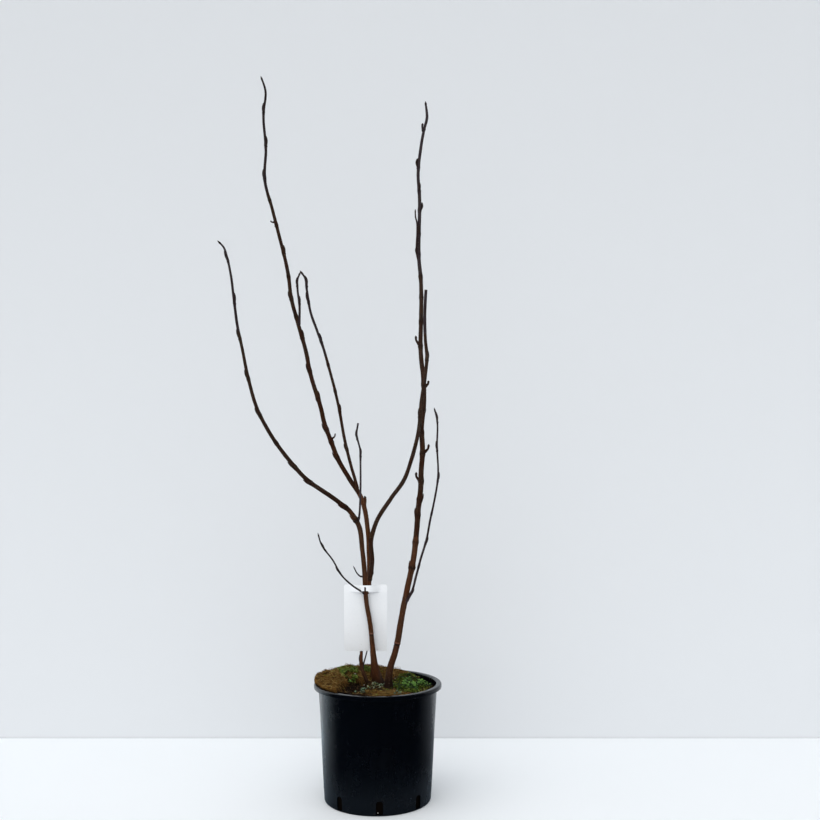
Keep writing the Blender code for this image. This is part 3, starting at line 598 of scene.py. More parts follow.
def bark_radius(axis, along, around):
    """Distance of the bark from the centre line, and its marks. On the part's tapering thickness lie
    broad lobes, fine wrinkles, ridges that run along old wood, the lobes of the root flare, the
    collar where a side branch leaves its parent, the relief of the nodes and rings, and the pointed
    bud that ends the line."""
    radius = axis.radius(along)
    age = np.clip((radius - 0.17) / 0.33, 0, 1)
    seed = axis.seed
    lobes = 0.035 * waves(seed, along, around, 3, 6.0) + 0.016 * waves(seed + 1, along, around, 9, 0.9)
    furrows = np.abs(waves(seed + 2, along, around, 11, 5.0)) - 0.45
    relief, scar = node_relief(axis, along, around, radius)
    added, height = axis.flare
    folds = 0.16 * np.cos(3 * around + seed) + 0.09 * np.cos(5 * around + 1)
    flare = added * np.exp(-along / height) * folds
    total = radius * (1 + lobes) - 0.016 * age * furrows + relief + flare
    if axis.collar is not None:
        total = total + 0.3 * radius * np.exp(-np.abs(along - axis.collar) / 0.45)
    if not axis.cut_tip:
        q = np.clip((along - axis.length + TIP_BUD) / TIP_BUD, 0, 1)
        swell = 1 + 0.14 * np.sin(math.pi * np.clip(q / 0.8, 0, 1))
        total = total * swell * (1 - q ** 2.2) ** 0.8 * (1 - 0.12 * bell(q, 0.05)) + 0.004
    scar = scar - np.interp(along / axis.length, THIRD_UP, axis.dark)
    # painted shade: the bark of a stem with a root flare is darkened towards its foot, near the ground
    if added:
        scar = scar - 0.9 * np.exp(-(along / 2.2) ** 1.5)
    return total, np.clip(scar + 0 * around, -1, 1), age + 0 * around


def bark_patch(axis, start, end, sides):
    """The closed surface of a limb: the point at station s and angle a lies from the centre line by
    the bark's radius along the outward vector. Near the ground the outward vectors turn level, so
    that the foot is a level cut. Inside both ends the rings go on inwards to a pole. Where the limb
    is cut off, that end is bare wood, a little domed."""
    stations = axis.fine_stations(start, end)
    angles = full_turn(sides)
    along, around = stations[:, None], angles[None]
    radius, scar, age = bark_radius(axis, along, around)
    outward = spokes(*axis.sides(stations), angles)
    if start <= 0 and axis.flare[0]:
        outward[:, :, 2] *= 1 - np.clip(1 - stations / LEVEL_FOOT, 0, 1)[:, None]
    centres = axis.centre(stations)
    body = centres[:, None] + radius[..., None] * outward
    grain = np.stack([radius * np.cos(around), radius * np.sin(around), along + 0 * around], axis=-1)
    cut = end >= axis.length and axis.cut_tip
    shrink, lift = (np.array(row) for row in (CUT_END if cut else PLAIN_END))
    heading = axis.direction(stations[[0, -1]])
    head = centres[-1] + (body[-1] - centres[-1]) * shrink[:, None, None] + heading[1] * lift[:, None, None]
    foot = centres[0] + (body[:1] - centres[0]) * 0.5
    rings = np.concatenate((foot, body, head))
    poles = np.stack((centres[0], centres[-1] + heading[1] * lift[-1]))
    nearest = np.clip(np.arange(len(rings)) - 1, 0, len(body) - 1)  # of the body's rings, for each ring
    marks = [values[nearest].reshape(len(rings) * sides, -1) for values in (scar, age, grain)]
    scar, age, grain = (np.concatenate((values, values[:1], values[-1:])) for values in marks)
    row = np.repeat(np.arange(len(rings) - 1), sides)
    if cut:
        finish = np.where(row >= len(body), WOOD, BARK)
    else:
        bud = (stations[nearest][row] > axis.length - TIP_BUD) & (not axis.cut_tip)
        finish = np.where(bud, BUD, BARK)
    last = WOOD if cut else finish[-1]
    finish = np.concatenate((finish, np.full(sides, BARK), np.full(sides, last)))
    points = np.concatenate((rings.reshape(-1, 3), poles))
    grey = axis.greyness(np.append(np.repeat(stations[nearest], sides), stations[[0, -1]]))
    return patch(points, lathe_faces(len(rings), sides), finish, scar=scar.ravel(), age=age.ravel(),
                 grain=grain, grey=grey)


def bud_patch(axis, nodes):
    """Buds pressed along the limb. A bud's centre line follows the limb's: it starts sunk in the bark,
    stands out most past its middle and bends back at its tip. Its half-width grows from the foot to
    the widest place and closes bluntly, with a small step where the outer scale ends."""
    stations, angles = (np.array(values) for values in zip(*nodes))
    size = 0.35 + 0.65 * axis.bud_size(stations)
    plump = np.interp(stations / axis.length, (0.55, 0.75), axis.plump)
    length = (BUD_SEEN * size)[:, None]
    radius = ((BUD_RADIUS * size + 0.04) * plump ** 0.5)[:, None]
    out, lean = axis.outward(stations, angles), axis.direction(stations)
    side = unit(np.cross(lean, out))
    across = np.cross(side, lean)
    t = np.linspace(-0.12, 1, 18)[None]
    middle = stations + BUD_SINK * BUD_LENGTH * axis.bud_size(stations)
    place = np.minimum(middle[:, None] + length * (t - 0.5), axis.length)
    centre = axis.centre(place.ravel()).reshape(*place.shape, 3)
    peak = 0.35 - 0.9 * (1 - plump[:, None])
    rise = -0.95 + (0.95 + peak) * smoothstep((t + 0.1) / 0.65) - 0.3 * np.clip((t - 0.65) / 0.35, 0, 1) ** 2
    line = centre + out[:, None] * (axis.radius(stations)[:, None] * 0.97 + radius * rise)[..., None]
    closing = (1 - np.clip((t - 0.55) / 0.45, 0, 1) ** 2.6) ** 0.6
    width = closing * (1 - 0.45 * np.clip((0.5 - t) / 0.6, 0, 1) ** 1.4) + 0.02
    turn = full_turn(TWIG_SIDES)
    seam = smoothstep((t[..., None] - 0.5 - 0.14 * np.cos(turn - 0.8)) / 0.05)
    width = width[..., None] * (1 - 0.09 * seam) * (1 + 0.025 * np.cos(6 * turn))
    ring = spokes(side, across * 0.86, turn)[:, None]
    points = line[:, :, None] + ring * (radius[..., None] * width)[..., None]
    points = capped(points, line[:, 0], line[:, -1] + lean * 0.02)
    young = stations > 0.5 * axis.length
    return many(points, lathe_faces(t.shape[1], TWIG_SIDES), np.where(young, BUD, BARK))


def spur_patch(axis, station, reach, length):
    """A short side twig: its line leaves the limb at a slant and bends up along it, its radius
    shrinks evenly to a small bud, and fine rings stand on it."""
    s = np.array([station])
    out = axis.outward(s, np.array([0.0 if reach > 0 else math.pi]))[0]
    up = axis.direction(s)[0]
    foot, radius = axis.centre(s)[0], float(axis.radius(s)[0])
    middle = foot + out * (radius + 0.75 * abs(reach)) + up * 0.45 * length
    tip = foot + out * (radius + abs(reach) + 0.04) + up * length
    line = smooth_line((foot, middle, tip), 14)
    t = np.linspace(0, 1, len(line))
    slender = 0.6 if abs(reach) > 0.5 else 1.0
    foot_radius, tip_radius = (r * slender for r in SPUR_RADII)
    radii = foot_radius + (tip_radius - foot_radius) * t
    radii = radii * (1 + 1.3 * bell(t, 0.3)) * (1 + 0.2 * bell(t - 0.62, 0.03))
    closing = (1 - np.clip((t - 0.8) / 0.2, 0, 1) ** 2) ** 0.7
    radii = radii * (1 + 0.35 * bell(t - 0.8, 0.1)) * closing
    along = unit(np.gradient(line, axis=0))
    right = unit(np.cross((0.0, 1.0, 0.0), along))
    turn = full_turn(TWIG_SIDES)
    radii = radii[:, None] * (1 + 0.05 * waves(axis.seed + 7, t[:, None] * 3, turn[None], 3, 1.0)) + 0.004
    rings = line[:, None] + spokes(right, np.cross(along, right), turn) * radii[..., None]
    points = np.concatenate((rings.reshape(-1, 3), line[[0, -1]]))
    row = np.repeat(np.arange(len(line) - 1), TWIG_SIDES)
    caps = np.repeat((BARK, BUD), TWIG_SIDES)
    finish = np.concatenate((np.where(t[row] > 0.72, BUD, BARK), caps))
    grey = np.full(len(points), float(axis.greyness(station)))
    return patch(points, lathe_faces(len(line), TWIG_SIDES), finish, grey=grey, scar=-0.35)


def pore_patch(axis, start, end):
    """Lens-shaped pores on the bark, each a low dome longer along young wood and broader round old
    wood. They keep off the terminal bud and stand at random places, evenly spread over the area."""
    rng = np.random.default_rng(axis.seed + round(start * 10))
    middle = np.linspace(start, end, 8)
    area = TAU * float(axis.radius(middle).mean()) * (end - start)
    count = max(4, int(PORES_PER_CM2 * area))
    top = end if end < axis.length else end - TIP_BUD * 1.2
    stations, angles = rng.uniform(start + 0.1, top, count), rng.uniform(0, TAU, count)
    long, broad = rng.uniform(0.025, 0.055, count), rng.uniform(0.018, 0.034, count)
    old = axis.radius(stations) > 0.42
    half_along, half_round = np.where(old, broad, long), np.where(old, long * 1.3, broad)
    turn = full_turn(PORE_SIDES)
    share, height = (np.array(row)[:, None] for row in PORE_RINGS)
    along = stations[:, None, None] + half_along[:, None, None] * share * np.sin(turn)
    swing = half_round[:, None, None] * share * np.cos(turn) / axis.radius(stations)[:, None, None]
    around = angles[:, None, None] + swing
    along, around, height = along.ravel(), around.ravel(), np.broadcast_to(height, along.shape).ravel()
    surface = bark_radius(axis, along, around)[0] + height
    points = axis.centre(along) + surface[:, None] * axis.outward(along, around)
    points = points.reshape(count, -1, 3)
    points = capped(points, points[:, :PORE_SIDES].mean(axis=1), points[:, -PORE_SIDES:].mean(axis=1))
    return many(points, lathe_faces(len(share), PORE_SIDES), PORE)


def limb_patches(axis, start, end):
    """A limb's bark with its buds, side twigs and pores."""
    thick = float(axis.radius(np.array([start, (start + end) / 2])).max())
    patches = [bark_patch(axis, start, end, 32 if thick > 0.3 else 24)]
    nodes = [(s, a) for s, a in axis.nodes if start + BUD_CLEAR < s < end - BUD_CLEAR
             and all(abs(s - spur) > 1.8 or reach * math.cos(a) < 0 for spur, reach, _ in axis.spurs)]
    if nodes:
        patches.append(bud_patch(axis, nodes))
    patches += [spur_patch(axis, *spur) for spur in axis.spurs if start + 0.3 < spur[0] < end - 0.3]
    if end - start > 2 * TIP_BUD:
        patches.append(pore_patch(axis, start, end))
    return patches


def grow_plant(lines, finishes):
    """One piece for each limb and twig of the part, in its place."""
    for name, pieces in LIMBS.items():
        axis = lines[name]
        start = 0.0
        for node, top in pieces:
            end = axis.length if top is None else axis.station(top)
            patches = limb_patches(axis, start, end)
            if node == "right_leader":
                twig = lines["right_twig"]
                patches += limb_patches(twig, 0.0, twig.length)
            make_piece(node + "_bark", patches, finishes[slots[node]], (node,))
            start = end


# Nursery pot

def wall_radius(height):
    """Outer radius of the pot's wall, which widens evenly from foot to lip."""
    return FOOT_RADIUS + (WALL_TOP_RADIUS - FOOT_RADIUS) * height / (POT_HEIGHT - LIP_HEIGHT)


def arc(centre, radius, start, end, steps):
    """Points on an arc in the pot's profile, from a start angle to an end angle in degrees."""
    angles = np.radians(np.linspace(start, end, steps))
    return [(centre[0] + radius * math.cos(a), centre[1] + radius * math.sin(a)) for a in angles]


def pot_profile():
    """The pot's section as radius and height, from the middle of its underside round the foot, up the
    wall, over the rolled lip, down inside and across the floor; and the rows where its outer and its
    inner wall pass the slots."""
    under_lip = POT_HEIGHT - LIP_HEIGHT
    slot_top = SLOT_FOOT + SLOT_HEIGHT
    beside_slot = np.linspace(SLOT_FOOT, slot_top, SLOT_ROWS + 1)
    heights = np.concatenate((beside_slot, np.linspace(slot_top, under_lip - 0.12, 40)[1:]))
    ring, width, rise = FOOT_RING
    outside = [(r, rise * bell(r - ring, width)) for r in np.linspace(0.6, FOOT_RADIUS - 0.7, 24)]
    outside += arc((FOOT_RADIUS - 0.3, 0.3), 0.3, -90, -12, 8)
    lip = arc((WALL_TOP_RADIUS + 0.12, under_lip - 0.12), 0.12, 175, 90, 5)
    lip += arc((LIP_RADIUS - 0.16, under_lip + 0.16), 0.16, -90, -4, 6)
    lip += [(LIP_RADIUS, under_lip + 0.3), (LIP_RADIUS, POT_HEIGHT - 0.38)]
    lip += arc((LIP_RADIUS - 0.36, POT_HEIGHT - 0.36), 0.36, 4, 90, 8)
    lip += arc((wall_radius(under_lip) - WALL + 0.34, POT_HEIGHT - 0.34), 0.34, 96, 180, 7)
    inside = arc((wall_radius(FLOOR) - WALL - 0.04, FLOOR + 0.04), 0.04, -10, -90, 3)
    inside += [(r, FLOOR) for r in np.linspace(FOOT_RADIUS - 1.0, 0.6, 10)]
    walls = [[(wall_radius(h), h) for h in heights], [(wall_radius(h) - WALL, h) for h in heights[::-1]]]
    outer_first = len(outside)
    inner_first = outer_first + len(heights) + len(lip) + len(heights) - (SLOT_ROWS + 1)
    return np.array(outside + walls[0] + lip + walls[1] + inside), outer_first, inner_first


def pot_shell(finish):
    """The pot: its profile turned about the axis. The columns of its grid run along the sides of the
    slots, whose faces are left out of both walls and whose edges are joined through the wall by
    strips. The top of a slot is rounded by lowering the grid's row at it."""
    profile, outer_first, inner_first = pot_profile()
    rows = len(profile)
    under_lip = POT_HEIGHT - LIP_HEIGHT
    sector = TAU / SLOT_COUNT
    half = SLOT_WIDTH / 2 / FOOT_RADIUS
    across = np.concatenate((np.linspace(-half, half, SLOT_COLUMNS + 1),
                             np.linspace(half, sector - half, BETWEEN_COLUMNS + 1)[1:-1]))
    turn = (sector * np.arange(SLOT_COUNT)[:, None] + across).ravel() - math.pi / 2 + SLOT_TURN
    columns = len(turn)
    radius = np.repeat(profile[:, :1], columns, axis=1)
    height = np.repeat(profile[:, 1:], columns, axis=1)
    x = np.abs(np.tile(across, SLOT_COUNT)) * FOOT_RADIUS
    corner = np.clip((x - (SLOT_WIDTH / 2 - SLOT_ROUNDING)) / SLOT_ROUNDING, 0, 1)
    drop = SLOT_ROUNDING * (1 - np.sqrt(1 - corner ** 2)) * (x <= SLOT_WIDTH / 2 + 1e-6)
    on_wall = (radius > FOOT_RADIUS - 0.9) & (height > SLOT_FOOT + 0.5)
    height = height - drop * bell(height - SLOT_FOOT - SLOT_HEIGHT, 0.35) * on_wall
    height = height + 0.02 * waves(3, 1.0, turn, 3, 30) * (profile[:, 1:] > under_lip)
    bulge = 0.03 * waves(5, height, turn[None], 2, 30.0)
    reach = radius + bulge * smoothstep(height / 4) * smoothstep((under_lip - height) / 4)
    points = np.stack((reach * np.cos(turn), reach * np.sin(turn), height), axis=-1)
    poles = np.array(((0, 0, 0.0), (0, 0, FLOOR)))
    quads = grid_faces(rows, columns).reshape(rows - 1, columns, 4)
    open_rows = np.zeros(rows - 1, bool)
    for first in (outer_first, inner_first):
        open_rows[first:first + SLOT_ROWS] = True
    in_slot = np.tile(np.arange(len(across)) < SLOT_COLUMNS, SLOT_COUNT)
    hole = open_rows[:, None] & in_slot[None]
    strips = slot_walls(outer_first, inner_first, columns, len(across))
    body = lathe_faces(rows, columns)
    made = patch(np.concatenate((points.reshape(-1, 3), poles)), [quads[~hole], strips, *body[1:]])
    return make_piece("pot_shell", [made], [finish], ("pot",), sharp=40.0)


def slot_walls(outer_first, inner_first, columns, sector_columns):
    """Strips through the wall round each slot. The outer window's rows go up from outer_first and the
    inner one's go down from inner_first, which ends at the slot's foot."""
    up = np.arange(SLOT_ROWS + 1)
    outer_row, inner_row = outer_first + up, inner_first + SLOT_ROWS - up

    def strip(outer, inner, turned):
        """Quads between a line of points on the outer wall and one on the inner."""
        quads = np.stack([outer[:-1], outer[1:], inner[1:], inner[:-1]], axis=-1)
        return quads[:, ::-1] if turned else quads

    quads = []
    for start in range(0, columns, sector_columns):
        across = start + np.arange(SLOT_COLUMNS + 1)
        for column, turned in ((across[0], False), (across[-1], True)):
            quads.append(strip(outer_row * columns + column, inner_row * columns + column, turned))
        for k, turned in ((0, True), (SLOT_ROWS, False)):
            quads.append(strip(outer_row[k] * columns + across, inner_row[k] * columns + across, turned))
    return np.concatenate(quads)


# Root ball

def mat_share(turn):
    """From 0 at the front right to 1 at the back left, where the mat is highest."""
    return 0.5 + 0.5 * np.cos(turn - MAT_HIGH_SIDE)


def ground_height(x, y):
    """Level of the root ball's top, as in the part."""
    reach, turn = np.hypot(x, y), np.arctan2(y, x)
    edge = smoothstep((reach - 4.5) / 6.0)
    across, back, radius, depth = HOLLOW
    dip = depth * np.exp(-((x - across) ** 2 + (y - back) ** 2) / radius ** 2)
    swells = 0.12 * np.sin(1.3 * x + 0.7 * y) * np.cos(1.1 * y - 0.5 * x) * edge
    near_wall = np.clip((reach - WALL_TOP_RADIUS + SINK_REACH) / SINK_REACH, 0, 1)
    sunk = SINK_DEPTH * bell(turn - SINK_SIDE, SINK_SPREAD) * near_wall ** 1.5
    return GROUND + MAT_RISE * mat_share(turn) * edge - dip - sunk + swells


# Places on the mat: centre across and back, half-widths across and back
MOSS_BACK_LEFT = (-6.4, 6.2, 2.3, 3.6)
MOSS_BEHIND = (-2.2, 8.9, 1.7, 1.9)
GREEN_RIGHT = (6.8, 0.0, 3.7, 7.4)
BRIGHT_RIGHT = (7.5, -0.8, 2.7, 4.8)
PALE_LEAVES = (-0.6, -2.2, 2.3, 2.2)
GREY_LEAVES = (-3.9, -10.3, 2.6, 0.9)
GREY_RIGHT = (4.2, -9.8, 1.4, 1.0)
# the valley, where the ground sinks and its colour is painted near black as shade
DARK_VALLEY = ((-4.4, 1.2, 2.4, 2.6), (-4.9, -2.2, 2.9, 3.0), (-5.4, -7.4, 2.8, 4.2),
               (0.9, 1.6, 1.2, 2.6), (9.8, 4.6, 1.9, 3.8))
COIR_FRONT = (0.9, -8.6, 4.4, 2.6)
COIR_BACK = (2.8, 9.3, 3.2, 2.6)
VALLEY_DEPTH = 0.9

MAT_COLUMNS = 480
MAT_SIDE_ROWS = 16
MAT_TOP_ROWS = 110
FIBRES = 5400
STRAWS = 6
MOSS_SHOOTS = 5200
SHOOT_LEAVES = 7
LEAVES_EACH = 7
LEAF_LIMIT = 11.75  # below the lip no leaf reaches past this radius

# Small leaves: place, number of rosettes, leaf length, main finish, greatest rise, share in that finish
LEAF_PLACES = (
    (PALE_LEAVES, 80, 0.4, 0, 0.7, 0.3), (GREY_LEAVES, 200, 0.5, 1, 1.0, 0.5),
    (GREY_RIGHT, 22, 0.45, 1, 1.0, 0.6), (BRIGHT_RIGHT, 120, 0.55, 2, 0.9, 0.6),
    (GREEN_RIGHT, 90, 0.5, 3, 0.5, 0.75), (MOSS_BACK_LEFT, 50, 0.35, 2, 0.4, 0.7),
)


def within(place, x, y, seed=0):
    """From 0 to 1: how well a point lies in an oval place with an uneven edge."""
    across, back, half_across, half_back = place
    reach = np.hypot((x - across) / half_across, (y - back) / half_back)
    return smoothstep((1.15 - reach + 0.4 * layered(seed + 40, x, y, 1.2)) / 0.4)


def within_any(places, x, y, first_seed=0):
    return np.maximum.reduce([within(place, x, y, first_seed + k) for k, place in enumerate(places)])


def mossy(x, y):
    """Where moss grows."""
    return within_any((MOSS_BACK_LEFT, MOSS_BEHIND, GREEN_RIGHT), x, y)


def shaded(x, y):
    """Where the valley between the mat and the stems lies: the ground sinks there and is painted near black
    as shade.
    """
    return within_any(DARK_VALLEY, x, y, 5)


def matted(x, y):
    """Where coir lies on top: high where the mat rises, and across the front and the back."""
    high = smoothstep((mat_share(np.arctan2(y, x)) - 0.42) / 0.3)
    high = high * smoothstep((np.hypot(x, y) - 3.5) / 2.5)
    whole = np.maximum.reduce((high, within(COIR_FRONT, x, y, 9), within(COIR_BACK, x, y, 11)))
    return whole * (1 - 0.9 * mossy(x, y)) * (1 - shaded(x, y))


def surface_height(x, y):
    """The ground with its clods, the fibre's ridges and the moss cushions on it."""
    moss, coir = mossy(x, y), matted(x, y)
    clods = 0.2 * layered(1, x, y, 1.1)
    crossing = np.abs(lumps(21, x + 0.5 * y, y * 3.0, 0.8)) + np.abs(lumps(22, x * 3.0 - y, y, 0.8))
    ridges = 0.10 * (crossing - 0.7) + 0.3 * layered(24, x, y, 1.7)
    cushions = 0.24 * np.abs(layered(31, x, y, 1.5))
    relief = (1 - coir) * (1 - moss) * clods + coir * (ridges + 0.4 * clods) + moss * cushions
    return ground_height(x, y) + relief - VALLEY_DEPTH * shaded(x, y)


def ground_mat(finish):
    """The root ball's surface: rings from the foot of the pot up its inside, out over the lip where
    the mat stands above it, and in over the top to the middle. The sides are dented, the mat's edge
    is frayed inwards, and the top has the ground's relief."""
    turn = full_turn(MAT_COLUMNS)
    wall_top = POT_HEIGHT - LIP_HEIGHT
    bottom = FLOOR + 0.05
    overhang = MAT_OVERHANG * np.clip((mat_share(turn) - 0.55) / 0.35, 0, 1)
    nominal = wall_radius(wall_top) - WALL - GAP + overhang
    level = ground_height(nominal * np.cos(turn), nominal * np.sin(turn))
    overhang = overhang * (level - 0.25 > POT_HEIGHT + GAP)
    side_top = np.minimum(wall_top, level - SHOULDER)
    inner = wall_radius(side_top) - WALL - GAP
    frayed = 0.5 * np.clip(layered(51, 12 * np.cos(turn), 12 * np.sin(turn), 0.7, 5) + 0.35, 0, 1.2)
    rim = inner + overhang - 0.05 - frayed * np.clip(overhang / 0.5, 0.1, 1)
    rim_top = surface_height((rim - 0.25) * np.cos(turn), (rim - 0.25) * np.sin(turn))
    shoulder = np.clip(level - 0.25, side_top + 0.1, POT_HEIGHT + GAP)
    rim_top = np.maximum(rim_top, shoulder + 0.08)
    rows = []
    for share in np.linspace(0, 1, MAT_SIDE_ROWS):
        h = bottom + (side_top - bottom) * share
        dents = 0.10 + 0.10 * waves(61, h, turn, 40, 1.6, 24)
        rows.append((wall_radius(h) - WALL - GAP - np.clip(dents, 0, 0.3), h))
    rows.append((inner - 0.05, shoulder - 0.03))
    rows.append((rim - 0.10, shoulder))
    for angle in np.radians((-30, 0, 30, 60, 90)):
        half = (rim_top - shoulder) / 2
        rows.append((rim - 0.12 + 0.12 * np.cos(angle), shoulder + half + half * np.sin(angle)))
    for share in np.linspace(0.985, 0.012, MAT_TOP_ROWS):
        reach = rim * share
        rows.append((reach, surface_height(reach * np.cos(turn), reach * np.sin(turn))))
    reach, height = (np.array(values) for values in zip(*rows))
    points = np.stack((reach * np.cos(turn), reach * np.sin(turn), height), axis=-1).reshape(-1, 3)
    middle = float(surface_height(np.zeros(1), np.zeros(1))[0])
    points = np.concatenate((points, ((0, 0, bottom), (0, 0, middle))))
    x, y = points[:, 0], points[:, 1]
    # painted shade: the sides low in the pot, which show through the slots, and the valley get the third
    # mark, which turns them near black
    hidden = points[:, 2] < wall_top - SINK_DEPTH - 0.5
    made = patch(points, lathe_faces(len(rows), MAT_COLUMNS), scar=mossy(x, y) * ~hidden,
                 grey=matted(x, y) * ~hidden, age=np.maximum(0.88 * shaded(x, y), hidden))
    return make_piece("ground_mat", [made], [finish], ("root_ball",), sharp=75.0)


def scatter(rng, count, likelihood, reach=11.9):
    """Random places on the ground that fall where the likelihood, from 0 to 1, is high."""
    x, y = rng.uniform(-13, 13, (2, count * 12))
    keep = (np.hypot(x, y) < reach) & (rng.uniform(0, 1, count * 12) < likelihood(x, y))
    return x[keep][:count], y[keep][:count]


def threads(rng, x, y, length, thick, lift, limit=13.2):
    """Bent three-sided threads on the ground, one round each place: the line of each is an arc in
    plan that rises from the surface in its middle, and its ends are thin."""
    count, steps = len(x), 6
    t = np.linspace(-0.5, 0.5, steps)[None]
    length = rng.uniform(*length, count)[:, None]
    angle = rng.uniform(0, TAU, count)[:, None] + rng.uniform(-1.8, 1.8, count)[:, None] * t
    px, py = x[:, None] + length * t * np.cos(angle), y[:, None] + length * t * np.sin(angle)
    within_limit = np.minimum(1, limit / np.hypot(px, py))
    px, py = px * within_limit, py * within_limit
    sag = rng.uniform(0.2, 1.2, count)[:, None]
    raised = rng.gamma(1.6, lift, count)[:, None] * (1 - (2 * t) ** 2 * sag)
    line = np.stack((px, py, surface_height(px, py) + np.clip(raised, 0, 0.6) + 0.015), axis=-1)
    along = unit(np.gradient(line, axis=1))
    side = unit(np.cross(along, (0.0, 0.0, 1.0)))
    high = np.cross(side, along)
    radius = rng.uniform(*thick, count)[:, None, None, None]
    taper = (1 - 0.75 * np.abs(2 * t) ** 3)[..., None, None]
    points = line[:, :, None] + spokes(side, high, full_turn(3)) * radius * taper
    return capped(points, line[:, 0], line[:, -1]), lathe_faces(steps, 3)


def coir_fibres(finishes):
    """Fibres over the mat, from pale gold to dark brown, and a few pale straws at its left."""
    def likelihood(x, y):
        return (0.06 + 0.94 * matted(x, y)) * (1 - 0.8 * shaded(x, y))

    rng = np.random.default_rng(81)
    x, y = scatter(rng, FIBRES, likelihood, reach=12.6)
    points, faces = threads(rng, x, y, length=(0.4, 2.1), thick=(0.013, 0.038), lift=0.09)
    shade = np.digitize(rng.uniform(0, 1, len(x)), (0.18, 0.5, 0.74))
    straw_x, straw_y = rng.normal(-8.6, 0.6, STRAWS), rng.normal(3.4, 0.7, STRAWS)
    straws, _ = threads(rng, straw_x, straw_y, length=(0.6, 1.3), thick=(0.035, 0.055), lift=0.12)
    patches = [many(points, faces, shade), many(straws, faces)]
    return make_piece("coir_fibres", patches, finishes)


def clumps(x, y):
    """From 0 in the gaps between clumps of green to 1 in their middles."""
    return smoothstep((layered(71, x, y, 1.3) + 0.3) / 0.35)


def moss_tufts(finishes):
    """Moss shoots, each a rosette of seven pointed leaves round a leaning stalk: a leaf is a bent
    kite of four triangles that rises, widens to its middle and droops to its point."""
    def likelihood(x, y):
        return (1 - shaded(x, y)) * (mossy(x, y) ** 1.5 * clumps(x, y) * 0.95 + 0.008)

    rng = np.random.default_rng(91)
    x, y = scatter(rng, MOSS_SHOOTS, likelihood, reach=11.6)
    count = len(x)
    z = surface_height(x, y)
    size = rng.uniform(0.16, 0.38, count)
    turn = rng.uniform(0, TAU, count)[:, None] + full_turn(SHOOT_LEAVES)
    turn = turn + rng.uniform(-0.3, 0.3, turn.shape)
    tilt = rng.uniform(0.3, 1.3, turn.shape)
    out, side = level_pair(turn)
    up = unit(np.concatenate((rng.uniform(-0.6, 0.6, (count, 2)), np.ones((count, 1))), axis=1))[:, None]
    stalk = up * (size * rng.uniform(0.1, 0.9, count))[:, None, None]
    base = np.stack((x, y, z), axis=-1)[:, None] + stalk
    long = (size[:, None] * rng.uniform(0.7, 1.25, turn.shape))[..., None]
    rise, flat = np.sin(tilt)[..., None], np.cos(tilt)[..., None]
    middle = base + out * long * 0.5 * flat + up * long * 0.55 * rise
    tip = base + out * long * flat + up * long * (0.8 * rise - 0.1)
    wide = side * long * 0.13
    leaf = (base - up * long * 0.35, middle - wide, tip, middle + wide, middle + up * long * 0.05)
    points = np.stack(leaf, axis=2).reshape(-1, len(leaf), 3)
    faces = [np.array(((0, 1, 4), (1, 2, 4), (2, 3, 4), (3, 0, 4)))]
    dark = within(GREEN_RIGHT, x, y, 2) * 0.15
    shade = np.digitize(rng.uniform(0, 1, count) - dark, (0.12, 0.45, 0.8))
    return make_piece("moss_tufts", [many(points, faces, np.repeat(shade, SHOOT_LEAVES))], finishes)


def leaf_blades(rng, x, y, z, length, width, tilt, shade):
    """Small oval leaves: a grid of six cross lines of three points, whose half-width is the sine of
    the way along, cupped across and drooping towards the tip. Below the lip none goes past the wall."""
    out, side = level_pair(rng.uniform(0, TAU, len(x)))
    t = np.linspace(0, 1, 6)
    across = np.array((-1.0, 0.0, 1.0))[:, None]
    half = np.sin(math.pi * (0.05 + 0.93 * t ** 0.8)) + 0.03
    rise = np.sin(tilt)[:, None] * t - 0.3 * t ** 2
    flat = np.cos(tilt)[:, None] * t
    upward = np.array((0.0, 0.0, 1.0))
    line = out[:, None] * flat[..., None] + upward * rise[..., None]
    line = np.stack((x, y, z), axis=-1)[:, None] + line * length[:, None, None]
    reach = (width[:, None] * half)[..., None, None]
    cup = upward * reach * 0.2 * np.abs(across)
    points = line[:, :, None] + side[:, None, None] * reach * across / 2 + cup
    from_axis = np.hypot(points[..., 0], points[..., 1])[..., None]
    drawn_in = np.minimum(1, LEAF_LIMIT / from_axis)
    points[..., :2] *= np.where(points[..., 2:] < POT_HEIGHT, drawn_in, 1)
    faces = [grid_faces(len(t), len(across), closed=False)[:, ::-1]]
    return many(points.reshape(len(x), -1, 3), faces, shade)


def weed_leaves(finishes):
    """Small leaved weeds: rosettes of oval leaves on the ground, pale ones before the stems,
    grey-green ones at the front lip and bright ones on the right, with a few among the moss."""
    rng = np.random.default_rng(101)
    patches = []
    for k, (place, count, size, shade, rise, share) in enumerate(LEAF_PLACES):
        in_clumps = k > 2  # those on the right and among the moss

        def likelihood(x, y):
            return within(place, x, y, k) ** 2 * (clumps(x, y) if in_clumps else 1)

        middles = scatter(rng, count, likelihood, reach=11.0)
        x, y = (np.repeat(values, LEAVES_EACH) for values in middles)
        x, y = x + rng.normal(0, 0.16, len(x)), y + rng.normal(0, 0.16, len(y))
        z = surface_height(x, y) + rng.uniform(0.1, rise, len(x))
        length = size * rng.uniform(0.6, 1.3, len(x))
        other = rng.uniform(0, 1, len(x))
        stray = 2 if in_clumps else 1
        finish = np.where(other < share, shade, np.where(other < 0.88, 3, stray))
        tilt = rng.uniform(0.0, 0.9, len(x))
        patches.append(leaf_blades(rng, x, y, z, length, length * 0.78, tilt, finish))
    return make_piece("weed_leaves", patches, finishes)


